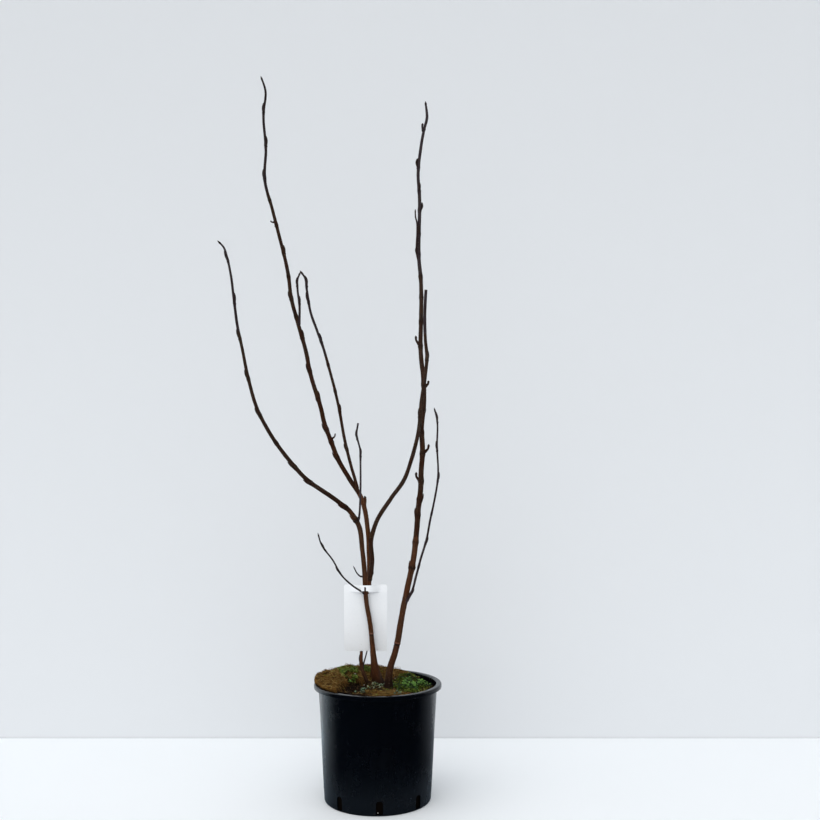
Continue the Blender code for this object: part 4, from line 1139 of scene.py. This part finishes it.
def crumbs(name, seed, count, sizes, likelihood, finishes, flatness=0.6, extra=()):
    """Loose bits on the ground: each a small ball of four rings of six points, squashed, turned and
    made uneven by moving every point in or out. extra holds the places of some more bits."""
    rng = np.random.default_rng(seed)
    x, y = scatter(rng, count, likelihood, reach=11.7)
    x, y = (np.append(values, [spot[k] for spot in extra]) for k, values in enumerate((x, y)))
    count = len(x)
    rows, columns = 4, 6
    v = math.pi * (np.arange(rows) + 0.7) / (rows + 0.4)
    u = full_turn(columns)
    ball = np.stack((np.outer(np.sin(v), np.cos(u)), np.outer(np.sin(v), np.sin(u)),
                     np.outer(-np.cos(v), np.ones(columns))), axis=-1).reshape(-1, 3)
    ball = np.concatenate((ball, ((0, 0, -1), (0, 0, 1))))
    bumps = rng.uniform(0.7, 1.15, (count, len(ball), 1))
    stretch = rng.uniform(*sizes, (count, 1, 3)) * np.array((1.0, 0.7, flatness))
    points = ball * bumps * stretch / 2
    spin, tip = rng.uniform(0, TAU, (count, 1)), rng.normal(0, 0.5, (count, 1))
    a, b, c = np.moveaxis(points, -1, 0)
    a, c = a * np.cos(tip) - c * np.sin(tip), a * np.sin(tip) + c * np.cos(tip)
    a, b = a * np.cos(spin) - b * np.sin(spin), a * np.sin(spin) + b * np.cos(spin)
    z = surface_height(x, y) + sizes[0] * 0.15
    z[count - len(extra):] = [spot[2] for spot in extra]
    points = np.stack((a + x[:, None], b + y[:, None], c + z[:, None]), axis=-1)
    shade = rng.integers(0, len(finishes), count)
    return make_piece(name, [many(points, lathe_faces(rows, columns), shade)], finishes)


# Plant tag

def tag_card(stem, finish):
    """The blank card: a sheet that runs up behind the stem, bowed a little from side to side. Near its
    top it is slit, and the band over the slit bulges forward round the stem, whose top goes on up
    behind it. It is a front and a back grid half the thickness to either side, joined at the edges."""
    def stem_at(height):
        station = np.interp(height, stem.line[:, 2], stem.along)
        return stem.centre(np.array([station]))[0], float(stem.radius(station))

    foot, foot_radius = stem_at(TAG_BOTTOM)
    slot, radius = stem_at(TAG_SLOT_FOOT)
    above, radius_above = stem_at(TAG_SLOT_TOP)
    behind_stem = (foot[1] + foot_radius + 0.35, slot[1] + radius + 0.25)
    forward = behind_stem[1] - (above[1] - radius_above - 0.2)
    middle = (slot[0] + above[0]) / 2
    finer = TAG_SLOT_FOOT - 0.5
    height = np.concatenate((np.linspace(TAG_BOTTOM, finer, 36), np.linspace(finer, TAG_TOP, 25)[1:]))
    depth = np.interp(height, (TAG_BOTTOM, TAG_SLOT_FOOT), behind_stem)[:, None]
    u = np.concatenate((np.linspace(-1, -0.6, 9), np.linspace(-0.6, 0.6, 61)[1:-1], np.linspace(0.6, 1, 9)))
    rows, columns = len(height), len(u)
    x = np.repeat(u[None], rows, axis=0) * TAG_WIDTH / 2
    height = height[:, None] + 0 * x
    over = np.clip((np.abs(x) - (TAG_WIDTH / 2 - TAG_CORNER)) / TAG_CORNER, 0, 1)
    inset = TAG_CORNER * (1 - np.sqrt(1 - over ** 2))
    height = height + inset * np.clip(1 - (height - TAG_BOTTOM) / 1.2, 0, 1)
    height = height - inset * np.clip(1 - (TAG_TOP - height) / 0.5, 0, 1)
    sway = smoothstep((TAG_SLOT_FOOT - height) / 4)
    bow = -0.16 * (x / (TAG_WIDTH / 2)) ** 2 * sway + 0.05 * np.sin(height * 0.6 + x * 0.5) * sway
    bulge = 1 - smoothstep((np.abs(x + middle - above[0]) - 0.7) / 2.6)
    bow = bow - forward * bulge * smoothstep((height - TAG_SLOT_FOOT + 0.1) / 0.35)
    centre = np.stack((x + middle, depth + bow, height), axis=-1)
    normal = unit(np.cross(np.gradient(centre, axis=1), np.gradient(centre, axis=0)))
    front, behind = centre + normal * TAG_THICKNESS / 2, centre - normal * TAG_THICKNESS / 2
    quads = grid_faces(rows, columns, closed=False)
    kept = quads[~slit_faces(stem, centre.reshape(-1, 3)[quads].mean(axis=1))]
    count = rows * columns
    rim = open_edges(kept, count)
    sides = np.stack((rim[:, 1], rim[:, 0], rim[:, 0] + count, rim[:, 1] + count), axis=-1)
    points = np.concatenate((front.reshape(-1, 3), behind.reshape(-1, 3)))
    made = patch(points, [kept, kept[:, ::-1] + count, sides])
    return make_piece("tag_card", [made], [finish], ("plant_tag",), sharp=40.0)


def slit_faces(stem, middles):
    """Which of the card's faces are left out, by their middles: those that the stem comes through, and
    a narrow slit above it."""
    across, _, height = middles.T
    stations = np.interp(height, stem.line[:, 2], stem.along)
    gap = np.abs(across - stem.centre(stations)[:, 0])
    passage = (gap < stem.radius(stations) + 0.12) & (height > TAG_SLOT_FOOT - 0.35)
    passage = passage & (height < TAG_SLOT_FOOT + 0.45)
    return passage | (gap < 0.17) & (height > TAG_SLOT_FOOT) & (height < TAG_SLOT_TOP + 0.1)


def open_edges(faces, count):
    """The edges that only one of these faces has, each in that face's own direction."""
    edges = np.concatenate([faces[:, (k, (k + 1) % 4)] for k in range(4)])
    keys = np.sort(edges, axis=1)
    _, first, uses = np.unique(keys[:, 0] * count + keys[:, 1], return_index=True, return_counts=True)
    return edges[first[uses == 1]]


# Finishes

def wire(tree, node, inputs):
    """Sets each of these inputs of a node to its value, or joins it to its socket."""
    for key, value in dict(inputs).items():
        if isinstance(value, bpy.types.NodeSocket):
            tree.links.new(value, node.inputs[key])
        else:
            node.inputs[key].default_value = value
    return node


def add(tree, kind, inputs=(), **settings):
    """A new node in the tree, with its settings and inputs."""
    node = tree.nodes.new(kind)
    for name, value in settings.items():
        setattr(node, name, value)
    return wire(tree, node, inputs)


def noise(tree, vector, scale, detail=4.0, roughness=0.6, distortion=0.0):
    return add(tree, "ShaderNodeTexNoise", {"Vector": vector, "Scale": scale, "Detail": detail,
               "Roughness": roughness, "Distortion": distortion}).outputs["Fac"]


def stretched(tree, vector, scale):
    return add(tree, "ShaderNodeMapping", {"Vector": vector, "Scale": scale}).outputs["Vector"]


def span(tree, value, low, high, to_low=0.0, to_high=1.0):
    """The value carried from one range to another and kept within it."""
    return add(tree, "ShaderNodeMapRange", {0: value, 1: low, 2: high, 3: to_low, 4: to_high}).outputs[0]


def maths(tree, operation, a, b=0.0):
    return add(tree, "ShaderNodeMath", {0: a, 1: b}, operation=operation).outputs[0]


def times(tree, a, b):
    return maths(tree, "MULTIPLY", a, b)


def blend(tree, share, a, b, how="MIX"):
    """One colour mixed into another by this share."""
    return add(tree, "ShaderNodeMix", {0: share, 6: a, 7: b}, data_type="RGBA", blend_type=how).outputs[2]


def along_axes(tree, place):
    """The three parts of a place: across, behind and up."""
    return add(tree, "ShaderNodeSeparateXYZ", {0: place}).outputs


def length_of(tree, place):
    """How far a place is from its zero point."""
    return add(tree, "ShaderNodeVectorMath", {0: place}, operation="LENGTH").outputs["Value"]


def is_mirrored(tree):
    return add(tree, "ShaderNodeLightPath").outputs["Is Glossy Ray"]


def group(name, inputs, outputs, build):
    """A shader node group with named inputs, given as kind and value, and named outputs by kind."""
    made = bpy.data.node_groups.new(name, "ShaderNodeTree")
    for label, (kind, value) in inputs.items():
        socket = made.interface.new_socket(label, in_out="INPUT", socket_type="NodeSocket" + kind)
        if value is not None:
            socket.default_value = value
    for label, kind in outputs.items():
        made.interface.new_socket(label, in_out="OUTPUT", socket_type="NodeSocket" + kind)
    source = made.nodes.new("NodeGroupInput").outputs
    result = build(made, source)
    add(made, "NodeGroupOutput", result)
    return made


def rgb(red, green, blue):
    return red, green, blue, 1.0


def bark_figure():
    """Bark: brown and grey mixed in soft patches, streaks along the grain, fine specks, paler scars
    and greener old wood. It gives the colour, the roughness and the height for a bump."""
    def build(tree, source):
        grain, place = source["Grain"], source["Place"]
        patches = noise(tree, place, 28.0, 3.0)
        streaks = noise(tree, stretched(tree, grain, (4.5, 4.5, 0.55)), 1.0, 5.0, 0.65, 0.4)
        specks = noise(tree, grain, 13.0, 3.0, 0.7)
        broad = noise(tree, stretched(tree, grain, (1.6, 1.6, 0.5)), 1.0, 2.0)
        share = maths(tree, "ADD", source["Grey share"], span(tree, patches, 0.3, 0.7, -0.3, 0.3))
        share = add(tree, "ShaderNodeClamp", {0: share}).outputs[0]
        colour = blend(tree, share, source["Brown"], source["Grey"])
        green = times(tree, source["Age"], span(tree, broad, 0.54, 0.75, 0.0, 0.35))
        colour = blend(tree, green, colour, source["Algae"])
        light = span(tree, streaks, 0.28, 0.74, 0.45, 1.75)
        light = add(tree, "ShaderNodeCombineColor", {0: light, 1: light, 2: light}).outputs[0]
        colour = blend(tree, 1.0, colour, light, "MULTIPLY")
        dark = span(tree, specks, 0.56, 0.7, 0.0, 0.55)
        # below zero the scar mark darkens the bark: at grooves, scars and knots, where a line is set darker,
        # and with painted shade at a stem's foot
        dark = maths(tree, "MAXIMUM", dark, span(tree, source["Scar"], -1.0, 0.0, 0.9, 0.0))
        colour = blend(tree, dark, colour, source["Dark"])
        pale = span(tree, source["Scar"], 0.0, 1.0, 0.0, 0.75)
        colour = blend(tree, pale, colour, source["Scar colour"])
        rough = span(tree, streaks, 0.3, 0.7, 0.45, 0.72)
        height = maths(tree, "ADD", times(tree, streaks, 0.6), times(tree, specks, 0.4))
        return {"Color": colour, "Roughness": rough, "Height": height}

    return group("bark_figure", {
        "Grain": ("Vector", None), "Place": ("Vector", None), "Grey share": ("Float", 0.0),
        "Scar": ("Float", 0.0), "Age": ("Float", 0.0), "Brown": ("Color", rgb(0.1, 0.05, 0.03)),
        "Grey": ("Color", rgb(0.1, 0.08, 0.07)), "Algae": ("Color", rgb(0.055, 0.040, 0.014)),
        "Dark": ("Color", rgb(0.008, 0.005, 0.004)), "Scar colour": ("Color", rgb(0.2, 0.13, 0.09)),
    }, {"Color": "Color", "Roughness": "Float", "Height": "Float"}, build)


def grime():
    """Dust and specks: soft clouds of thin dust and small hard spots, with inputs for how much of
    each there is. It gives both as masks and a fine height."""
    def build(tree, source):
        place = source["Place"]
        clouds = noise(tree, place, 14.0, 5.0, 0.65, 0.3)
        spots = noise(tree, place, 260.0, 2.0, 0.5)
        fine = noise(tree, place, 900.0, 2.0, 0.5)
        dust = times(tree, span(tree, clouds, 0.42, 0.8), source["Dust"])
        specks = times(tree, span(tree, spots, 0.70, 0.76), source["Specks"])
        return {"Dust": dust, "Specks": specks, "Height": fine}

    return group("grime", {"Place": ("Vector", None), "Dust": ("Float", 1.0), "Specks": ("Float", 1.0)},
                 {"Dust": "Float", "Specks": "Float", "Height": "Float"}, build)


def new_finish(name, roughness=0.6, **sockets):
    """A material with a Principled shader; constants are set on the shader's own sockets."""
    made = bpy.data.materials.new(name)
    made.use_nodes = True
    tree = made.node_tree
    constants = {label.replace("_", " "): value for label, value in sockets.items()}
    shader = wire(tree, tree.nodes["Principled BSDF"], {"Roughness": roughness, **constants})
    return made, tree, shader


def object_place(tree):
    return add(tree, "ShaderNodeTexCoord").outputs["Object"]


def bumped(tree, shader, height, strength, distance):
    bump = add(tree, "ShaderNodeBump", {"Height": height, "Strength": strength, "Distance": distance})
    wire(tree, shader, {"Normal": bump.outputs["Normal"]})


def attribute(tree, name, output="Fac"):
    return add(tree, "ShaderNodeAttribute", attribute_name=name).outputs[output]


def bark_finish(name, figure, brown, grey, scar, strength):
    made, tree, shader = new_finish(name, Specular_IOR_Level=0.06)
    node = add(tree, "ShaderNodeGroup", node_tree=figure)
    wire(tree, node, {
        "Grain": attribute(tree, "grain", "Vector"), "Place": object_place(tree),
        "Grey share": attribute(tree, "grey"), "Scar": attribute(tree, "scar"),
        "Age": attribute(tree, "age"), "Brown": brown, "Grey": grey, "Scar colour": scar,
    })
    wire(tree, shader, {"Base Color": node.outputs["Color"], "Roughness": node.outputs["Roughness"]})
    bumped(tree, shader, node.outputs["Height"], strength, distance=0.0006)
    return made


def speckled_finish(name, colour, other, scale, roughness=0.6, strength=0.3, **sockets):
    """A plain finish that shifts softly between two close tones, with a fine bump."""
    made, tree, shader = new_finish(name, roughness, **sockets)
    place = object_place(tree)
    tone = noise(tree, place, scale, 4.0, 0.65)
    shade = blend(tree, span(tree, tone, 0.35, 0.65), colour, other)
    wire(tree, shader, {"Base Color": shade})
    bumped(tree, shader, noise(tree, place, scale * 4, 3.0), strength, distance=0.0004)
    return made


def two_tones(name, colours, darker, scale, roughness, gloss=0.04):
    """A speckled finish for each of these colours, whose other tone is this much darker."""
    return [speckled_finish(f"{name}_{k}", rgb(*colour), rgb(*(v * darker for v in colour)), scale,
                            roughness, Specular_IOR_Level=gloss) for k, colour in enumerate(colours)]


def cut_wood():
    """Sawn or dead wood: growth rings round the grain's middle, dry and grey-brown, with dark pith."""
    made, tree, shader = new_finish("cut_wood", 0.85, Specular_IOR_Level=0.1)
    grain = attribute(tree, "grain", "Vector")
    flat = stretched(tree, grain, (1.0, 1.0, 0.0))
    reach = length_of(tree, flat)
    rings = maths(tree, "SINE", times(tree, reach, 90.0))
    rings = maths(tree, "ADD", rings, span(tree, noise(tree, grain, 9.0), 0.3, 0.7, -1.0, 1.0))
    shade = blend(tree, span(tree, rings, -1.4, 1.4), rgb(0.012, 0.008, 0.006), rgb(0.05, 0.034, 0.024))
    shade = blend(tree, span(tree, reach, 0.03, 0.07, 0.85, 0.0), shade, rgb(0.02, 0.012, 0.008))
    wire(tree, shader, {"Base Color": shade})
    bumped(tree, shader, rings, strength=0.3, distance=0.0003)
    return made


def black_plastic(dirt):
    """Satin black polypropylene: a faint blue cast, soft scuffs, thin dust that gathers at the foot,
    a few dry specks of compost, and a fine moulded grain."""
    made, tree, shader = new_finish("black_plastic", 0.4, Specular_IOR_Level=0.55)
    place = object_place(tree)
    foot = span(tree, along_axes(tree, place)["Z"], 0.0, 0.05, 1.0, 0.12)
    node = add(tree, "ShaderNodeGroup", {"Place": place, "Specks": foot}, node_tree=dirt)
    dust, specks = node.outputs["Dust"], node.outputs["Specks"]
    streaks = noise(tree, stretched(tree, place, (60.0, 60.0, 5.0)), 1.0, 4.0, 0.6)
    black, scuffed = rgb(0.0001, 0.0005, 0.0016), rgb(0.0004, 0.0012, 0.0028)
    shade = blend(tree, span(tree, streaks, 0.3, 0.75), black, scuffed)
    shade = blend(tree, times(tree, dust, times(tree, foot, 0.03)), shade, rgb(0.16, 0.15, 0.14))
    shade = blend(tree, times(tree, specks, 0.5), shade, rgb(0.06, 0.045, 0.03))
    rough = span(tree, streaks, 0.25, 0.8, 0.14, 0.28)
    rough = maths(tree, "ADD", rough, times(tree, dust, 0.2))
    wire(tree, shader, {"Base Color": shade, "Roughness": rough})
    relief = maths(tree, "ADD", node.outputs["Height"], times(tree, streaks, 2.0))
    bumped(tree, shader, relief, strength=0.12, distance=0.0004)
    return made


def compost_finish():
    """The root ball: dark crumbly compost, golden brown where coir lies on top and green where moss
    grows, each with its own broken pattern, and near black in the valley and on the sides low in the
    pot, which is painted shade."""
    made, tree, shader = new_finish("compost_and_coir", 0.95, Specular_IOR_Level=0.04)
    place = object_place(tree)
    coir, moss, painted_shade = attribute(tree, "grey"), attribute(tree, "scar"), attribute(tree, "age")
    crumbly = noise(tree, place, 120.0, 6.0, 0.7)
    threads = noise(tree, stretched(tree, place, (500.0, 90.0, 200.0)), 1.0, 4.0, 0.65, 1.4)
    crossing = noise(tree, stretched(tree, place, (90.0, 500.0, 200.0)), 1.0, 4.0, 0.65, 1.4)
    web = maths(tree, "MAXIMUM", threads, crossing)
    soil = blend(tree, span(tree, crumbly, 0.35, 0.68), rgb(0.005, 0.003, 0.002), rgb(0.055, 0.033, 0.017))
    fibre = blend(tree, span(tree, web, 0.42, 0.72), rgb(0.04, 0.019, 0.005), rgb(0.27, 0.14, 0.030))
    patches = noise(tree, place, 45.0, 4.0, 0.6)
    fibre = blend(tree, span(tree, patches, 0.38, 0.66, 0.55, 0.0), fibre, rgb(0.035, 0.02, 0.010))
    green = blend(tree, span(tree, crumbly, 0.35, 0.65), rgb(0.006, 0.007, 0.002), rgb(0.042, 0.046, 0.010))
    shade = blend(tree, coir, soil, fibre)
    shade = blend(tree, moss, shade, green)
    # painted shade: near black where the valley and the sides low in the pot are marked
    shade = blend(tree, painted_shade, shade, rgb(0.003, 0.0018, 0.0012))
    wire(tree, shader, {"Base Color": shade})
    bumped(tree, shader, maths(tree, "ADD", web, crumbly), strength=0.9, distance=0.0015)
    return made


def card_finish(dirt):
    """White laminated card: a soft sheen, faint fibres, and thin brownish clouds and specks that make it
    darker towards its lower edge.
    """
    made, tree, shader = new_finish("white_card", 0.38, Specular_IOR_Level=0.4)
    place = object_place(tree)
    node = add(tree, "ShaderNodeGroup", {"Place": place}, node_tree=dirt)
    low = span(tree, along_axes(tree, place)["Z"], 0.29, 0.36, 1.0, 0.15)
    fibres = noise(tree, place, 420.0, 3.0)
    shade = blend(tree, span(tree, fibres, 0.35, 0.65), rgb(0.90, 0.92, 0.95), rgb(0.93, 0.95, 0.97))
    # thin brownish clouds that make the card darker towards its lower edge
    lower_darkening = times(tree, node.outputs["Dust"], times(tree, low, 0.12))
    shade = blend(tree, lower_darkening, shade, rgb(0.45, 0.42, 0.36))
    spots = times(tree, node.outputs["Specks"], times(tree, low, 0.5))
    shade = blend(tree, spots, shade, rgb(0.2, 0.15, 0.1))
    wire(tree, shader, {"Base Color": shade, "Roughness": span(tree, fibres, 0.3, 0.7, 0.33, 0.45)})
    bumped(tree, shader, node.outputs["Height"], strength=0.06, distance=0.0003)
    return made


# Bark: slot, finish, its brown, grey and scar colours, and the strength of its bump
BARKS = (
    ("stem_bark", "stem_bark_old",
     ((0.071, 0.024, 0.0085), (0.060, 0.040, 0.027), (0.26, 0.13, 0.10)), 0.6),
    ("bough_bark", "bough_bark_brown",
     ((0.028, 0.0080, 0.0028), (0.034, 0.023, 0.017), (0.10, 0.06, 0.045)), 0.5),
    ("twig_bark", "twig_bark_dark",
     ((0.020, 0.0095, 0.0095), (0.036, 0.028, 0.032), (0.07, 0.05, 0.045)), 0.4),
)
FIBRE_BROWNS = ((0.39, 0.26, 0.090), (0.21, 0.112, 0.028), (0.105, 0.048, 0.012), (0.035, 0.017, 0.006))
MOSS_GREENS = ((0.018, 0.025, 0.004), (0.065, 0.088, 0.010), (0.14, 0.20, 0.026), (0.37, 0.44, 0.11))
LEAF_GREENS = ((0.40, 0.46, 0.30), (0.12, 0.19, 0.12), (0.13, 0.27, 0.055), (0.020, 0.038, 0.010))
CRUMB_BROWNS = ((0.02, 0.011, 0.007), (0.055, 0.03, 0.016), (0.12, 0.08, 0.045))
PERLITE_WHITES = ((0.62, 0.62, 0.58), (0.45, 0.44, 0.40))
GRAIN_IN_SLOT = (0.35, -10.55, 0.62)  # one white grain lies in the front drain slot


def limb_finishes():
    """Bark, bud, cut wood and pore finishes for each of the plant's material slots."""
    figure = bark_figure()
    bud = speckled_finish("bud_scale", rgb(0.010, 0.006, 0.005), rgb(0.034, 0.020, 0.015),
                          scale=420.0, roughness=0.6, strength=0.4, Specular_IOR_Level=0.1)
    wood = cut_wood()
    pore = speckled_finish("bark_pore", rgb(0.16, 0.12, 0.085), rgb(0.26, 0.20, 0.15),
                           scale=300.0, roughness=0.8)
    finishes = {}
    for slot, name, colours, strength in BARKS:
        bark = bark_finish(name, figure, *(rgb(*colour) for colour in colours), strength)
        finishes[slot] = [bark, bud, wood, pore]
    return finishes


# The plant's stage

def look_from(place, pitch, focal, shift):
    """The camera, level but for a slight upward pitch, as the photograph was taken. focal and shift
    are in pixels of a frame of FRAME_SIDE."""
    data = bpy.data.cameras.new("camera")
    data.sensor_width = 36.0
    data.lens = focal / FRAME_SIDE * data.sensor_width
    data.shift_y = shift / FRAME_SIDE
    data.clip_start, data.clip_end = 0.05, 50.0
    camera = bpy.data.objects.new("camera", data)
    camera.location = [v * CM for v in place]
    camera.rotation_euler = (math.pi / 2 + pitch, 0.0, 0.0)
    bpy.context.scene.collection.objects.link(camera)
    bpy.context.scene.camera = camera


FRAME_SIDE = 820
CAMERA_PLACE = (6.6144, -198.886, 67.64)
CAMERA_PITCH = 0.0118
CAMERA_FOCAL = 964.3
CAMERA_SHIFT = 47.0
STAGE_REACH = 600.0
WALL_BEHIND = 43.6
WALL_HEIGHT = 500.0


def flat_sheet(name, corners, finish):
    """A plain four-cornered sheet of the stage, in centimetres."""
    mesh = bpy.data.meshes.new(name)
    mesh.from_pydata([tuple(v * CM for v in corner) for corner in corners], [], [(0, 1, 2, 3)])
    mesh.materials.append(finish)
    made = bpy.data.objects.new(name, mesh)
    bpy.context.scene.collection.objects.link(made)
    return made


def soft_light(name, towards, power, spread, colour=(1.0, 1.0, 1.0)):
    """An even light from far off, which fills this many degrees of the sky round a direction."""
    data = bpy.data.lights.new(name, "SUN")
    data.energy, data.angle, data.color = power, math.radians(spread), colour
    lamp = bpy.data.objects.new(name, data)
    x, y, z = unit(np.array(towards, float))
    lamp.rotation_euler = (math.acos(z), 0.0, math.atan2(x, -y))
    lamp.visible_glossy = False
    bpy.context.scene.collection.objects.link(lamp)
    return lamp


def floor_paint():
    """Pale grey. In mirror-like reflections only, the floor round the pot is darker and turns darker
    still further off, while the part behind the pot is pale at the left and dimmer at the right."""
    made, tree, shader = new_finish("pale_floor", 0.7, Specular_IOR_Level=0.2)
    far = span(tree, length_of(tree, object_place(tree)), 0.16, 0.30)
    mirrored = is_mirrored(tree)
    dark = blend(tree, far, rgb(0.11, 0.15, 0.20), rgb(0.006, 0.011, 0.020))
    across, behind, _ = along_axes(tree, object_place(tree))
    side = blend(tree, span(tree, across, -0.3, 0.3), rgb(0.76, 0.90, 1.0), rgb(0.21, 0.235, 0.27))
    dark = blend(tree, span(tree, behind, -0.08, 0.4), dark, side)
    wire(tree, shader, {"Base Color": blend(tree, mirrored, rgb(0.885, 0.913, 0.938), dark)})
    return made


def backdrop_paint():
    """Pale grey, with painted shadow in a thin darker line at the floor, and clear from behind. In
    mirror-like reflections only, it is bright at the left and dimmer at the right."""
    made, tree, shader = new_finish("pale_backdrop", 0.9, Specular_IOR_Level=0.1)
    mirrored = is_mirrored(tree)
    across, _, up = along_axes(tree, object_place(tree))
    side = blend(tree, span(tree, across, -0.5, 0.75), rgb(0.90, 0.96, 1.0), rgb(0.40, 0.415, 0.44))
    # painted shadow: a thin darker line at the foot of the backdrop, where it meets the floor
    seam = span(tree, up, 0.0, 0.006, 0.4, 0.0)
    plain = blend(tree, seam, rgb(0.733, 0.752, 0.775), rgb(0.45, 0.46, 0.47))
    wire(tree, shader, {"Base Color": blend(tree, mirrored, plain, side)})
    behind = add(tree, "ShaderNodeNewGeometry").outputs["Backfacing"]
    clear = add(tree, "ShaderNodeBsdfTransparent").outputs[0]
    mixed = add(tree, "ShaderNodeMixShader", {0: behind, 1: shader.outputs[0], 2: clear}).outputs[0]
    wire(tree, tree.nodes["Material Output"], {"Surface": mixed})
    return made


def pale_world():
    """A world that is pale where it is seen straight on, dim as a light and darker still in
    mirror-like reflections."""
    world = bpy.data.worlds.new("studio")
    world.use_nodes = True
    bpy.context.scene.world = world
    tree = world.node_tree
    path = add(tree, "ShaderNodeLightPath")
    seen, mirrored = path.outputs["Is Camera Ray"], path.outputs["Is Glossy Ray"]
    unseen = blend(tree, mirrored, rgb(0.136, 0.147, 0.16), rgb(0.004, 0.008, 0.016))
    wire(tree, tree.nodes["Background"], {"Color": blend(tree, seen, unseen, rgb(0.74, 0.78, 0.82))})


def set_stage():
    """A plain pale floor, a pale backdrop that shows only its front, soft lights and a pale world."""
    left, right, front = -STAGE_REACH, STAGE_REACH, -STAGE_REACH
    behind, wall, top = STAGE_REACH, WALL_BEHIND, WALL_HEIGHT
    flat_sheet("floor", ((left, front, 0), (right, front, 0), (right, behind, 0), (left, behind, 0)),
               floor_paint())
    flat_sheet("backdrop", ((left, wall, 0), (right, wall, 0), (right, wall, top), (left, wall, top)),
               backdrop_paint())
    pale_world()
    soft_light("key", (-0.8, -0.85, 1.1), power=1.6, spread=100.0, colour=(1.0, 0.99, 0.97))
    soft_light("top", (0.15, -0.8, 1.0), power=1.5, spread=110.0)
    scene = bpy.context.scene
    scene.view_settings.view_transform = "Standard"
    scene.view_settings.look = "None"


def bare_ground(x, y):
    """Crumbs lie mostly where neither the mat nor moss covers the compost."""
    return 1 - 0.75 * np.maximum(matted(x, y), mossy(x, y))


def main():
    look_from(CAMERA_PLACE, CAMERA_PITCH, CAMERA_FOCAL, CAMERA_SHIFT)
    set_stage()
    dirt = grime()
    lines = grow_lines()
    grow_plant(lines, limb_finishes())
    pot_shell(black_plastic(dirt))
    ground_mat(compost_finish())
    coir_fibres(two_tones("fibre", FIBRE_BROWNS, darker=0.75, scale=300.0, roughness=0.8))
    moss_tufts(two_tones("moss", MOSS_GREENS, darker=0.7, scale=200.0, roughness=0.7))
    weed_leaves(two_tones("leaf", LEAF_GREENS, darker=0.8, scale=150.0, roughness=0.6, gloss=0.08))
    bits = two_tones("bark_bit", CRUMB_BROWNS, darker=0.6, scale=250.0, roughness=0.9)
    crumbs("compost_bits", 111, count=900, sizes=(0.12, 0.45), likelihood=bare_ground, finishes=bits)
    whites = (rgb(*colour) for colour in PERLITE_WHITES)
    white = [speckled_finish("perlite", *whites, scale=300.0, roughness=0.9)]
    crumbs("perlite_grains", 121, count=16, sizes=(0.16, 0.30), likelihood=lambda x, y: 0.4 + 0 * x,
           finishes=white, flatness=0.9, extra=(GRAIN_IN_SLOT,))
    tag_card(lines["left"], card_finish(dirt))


main()
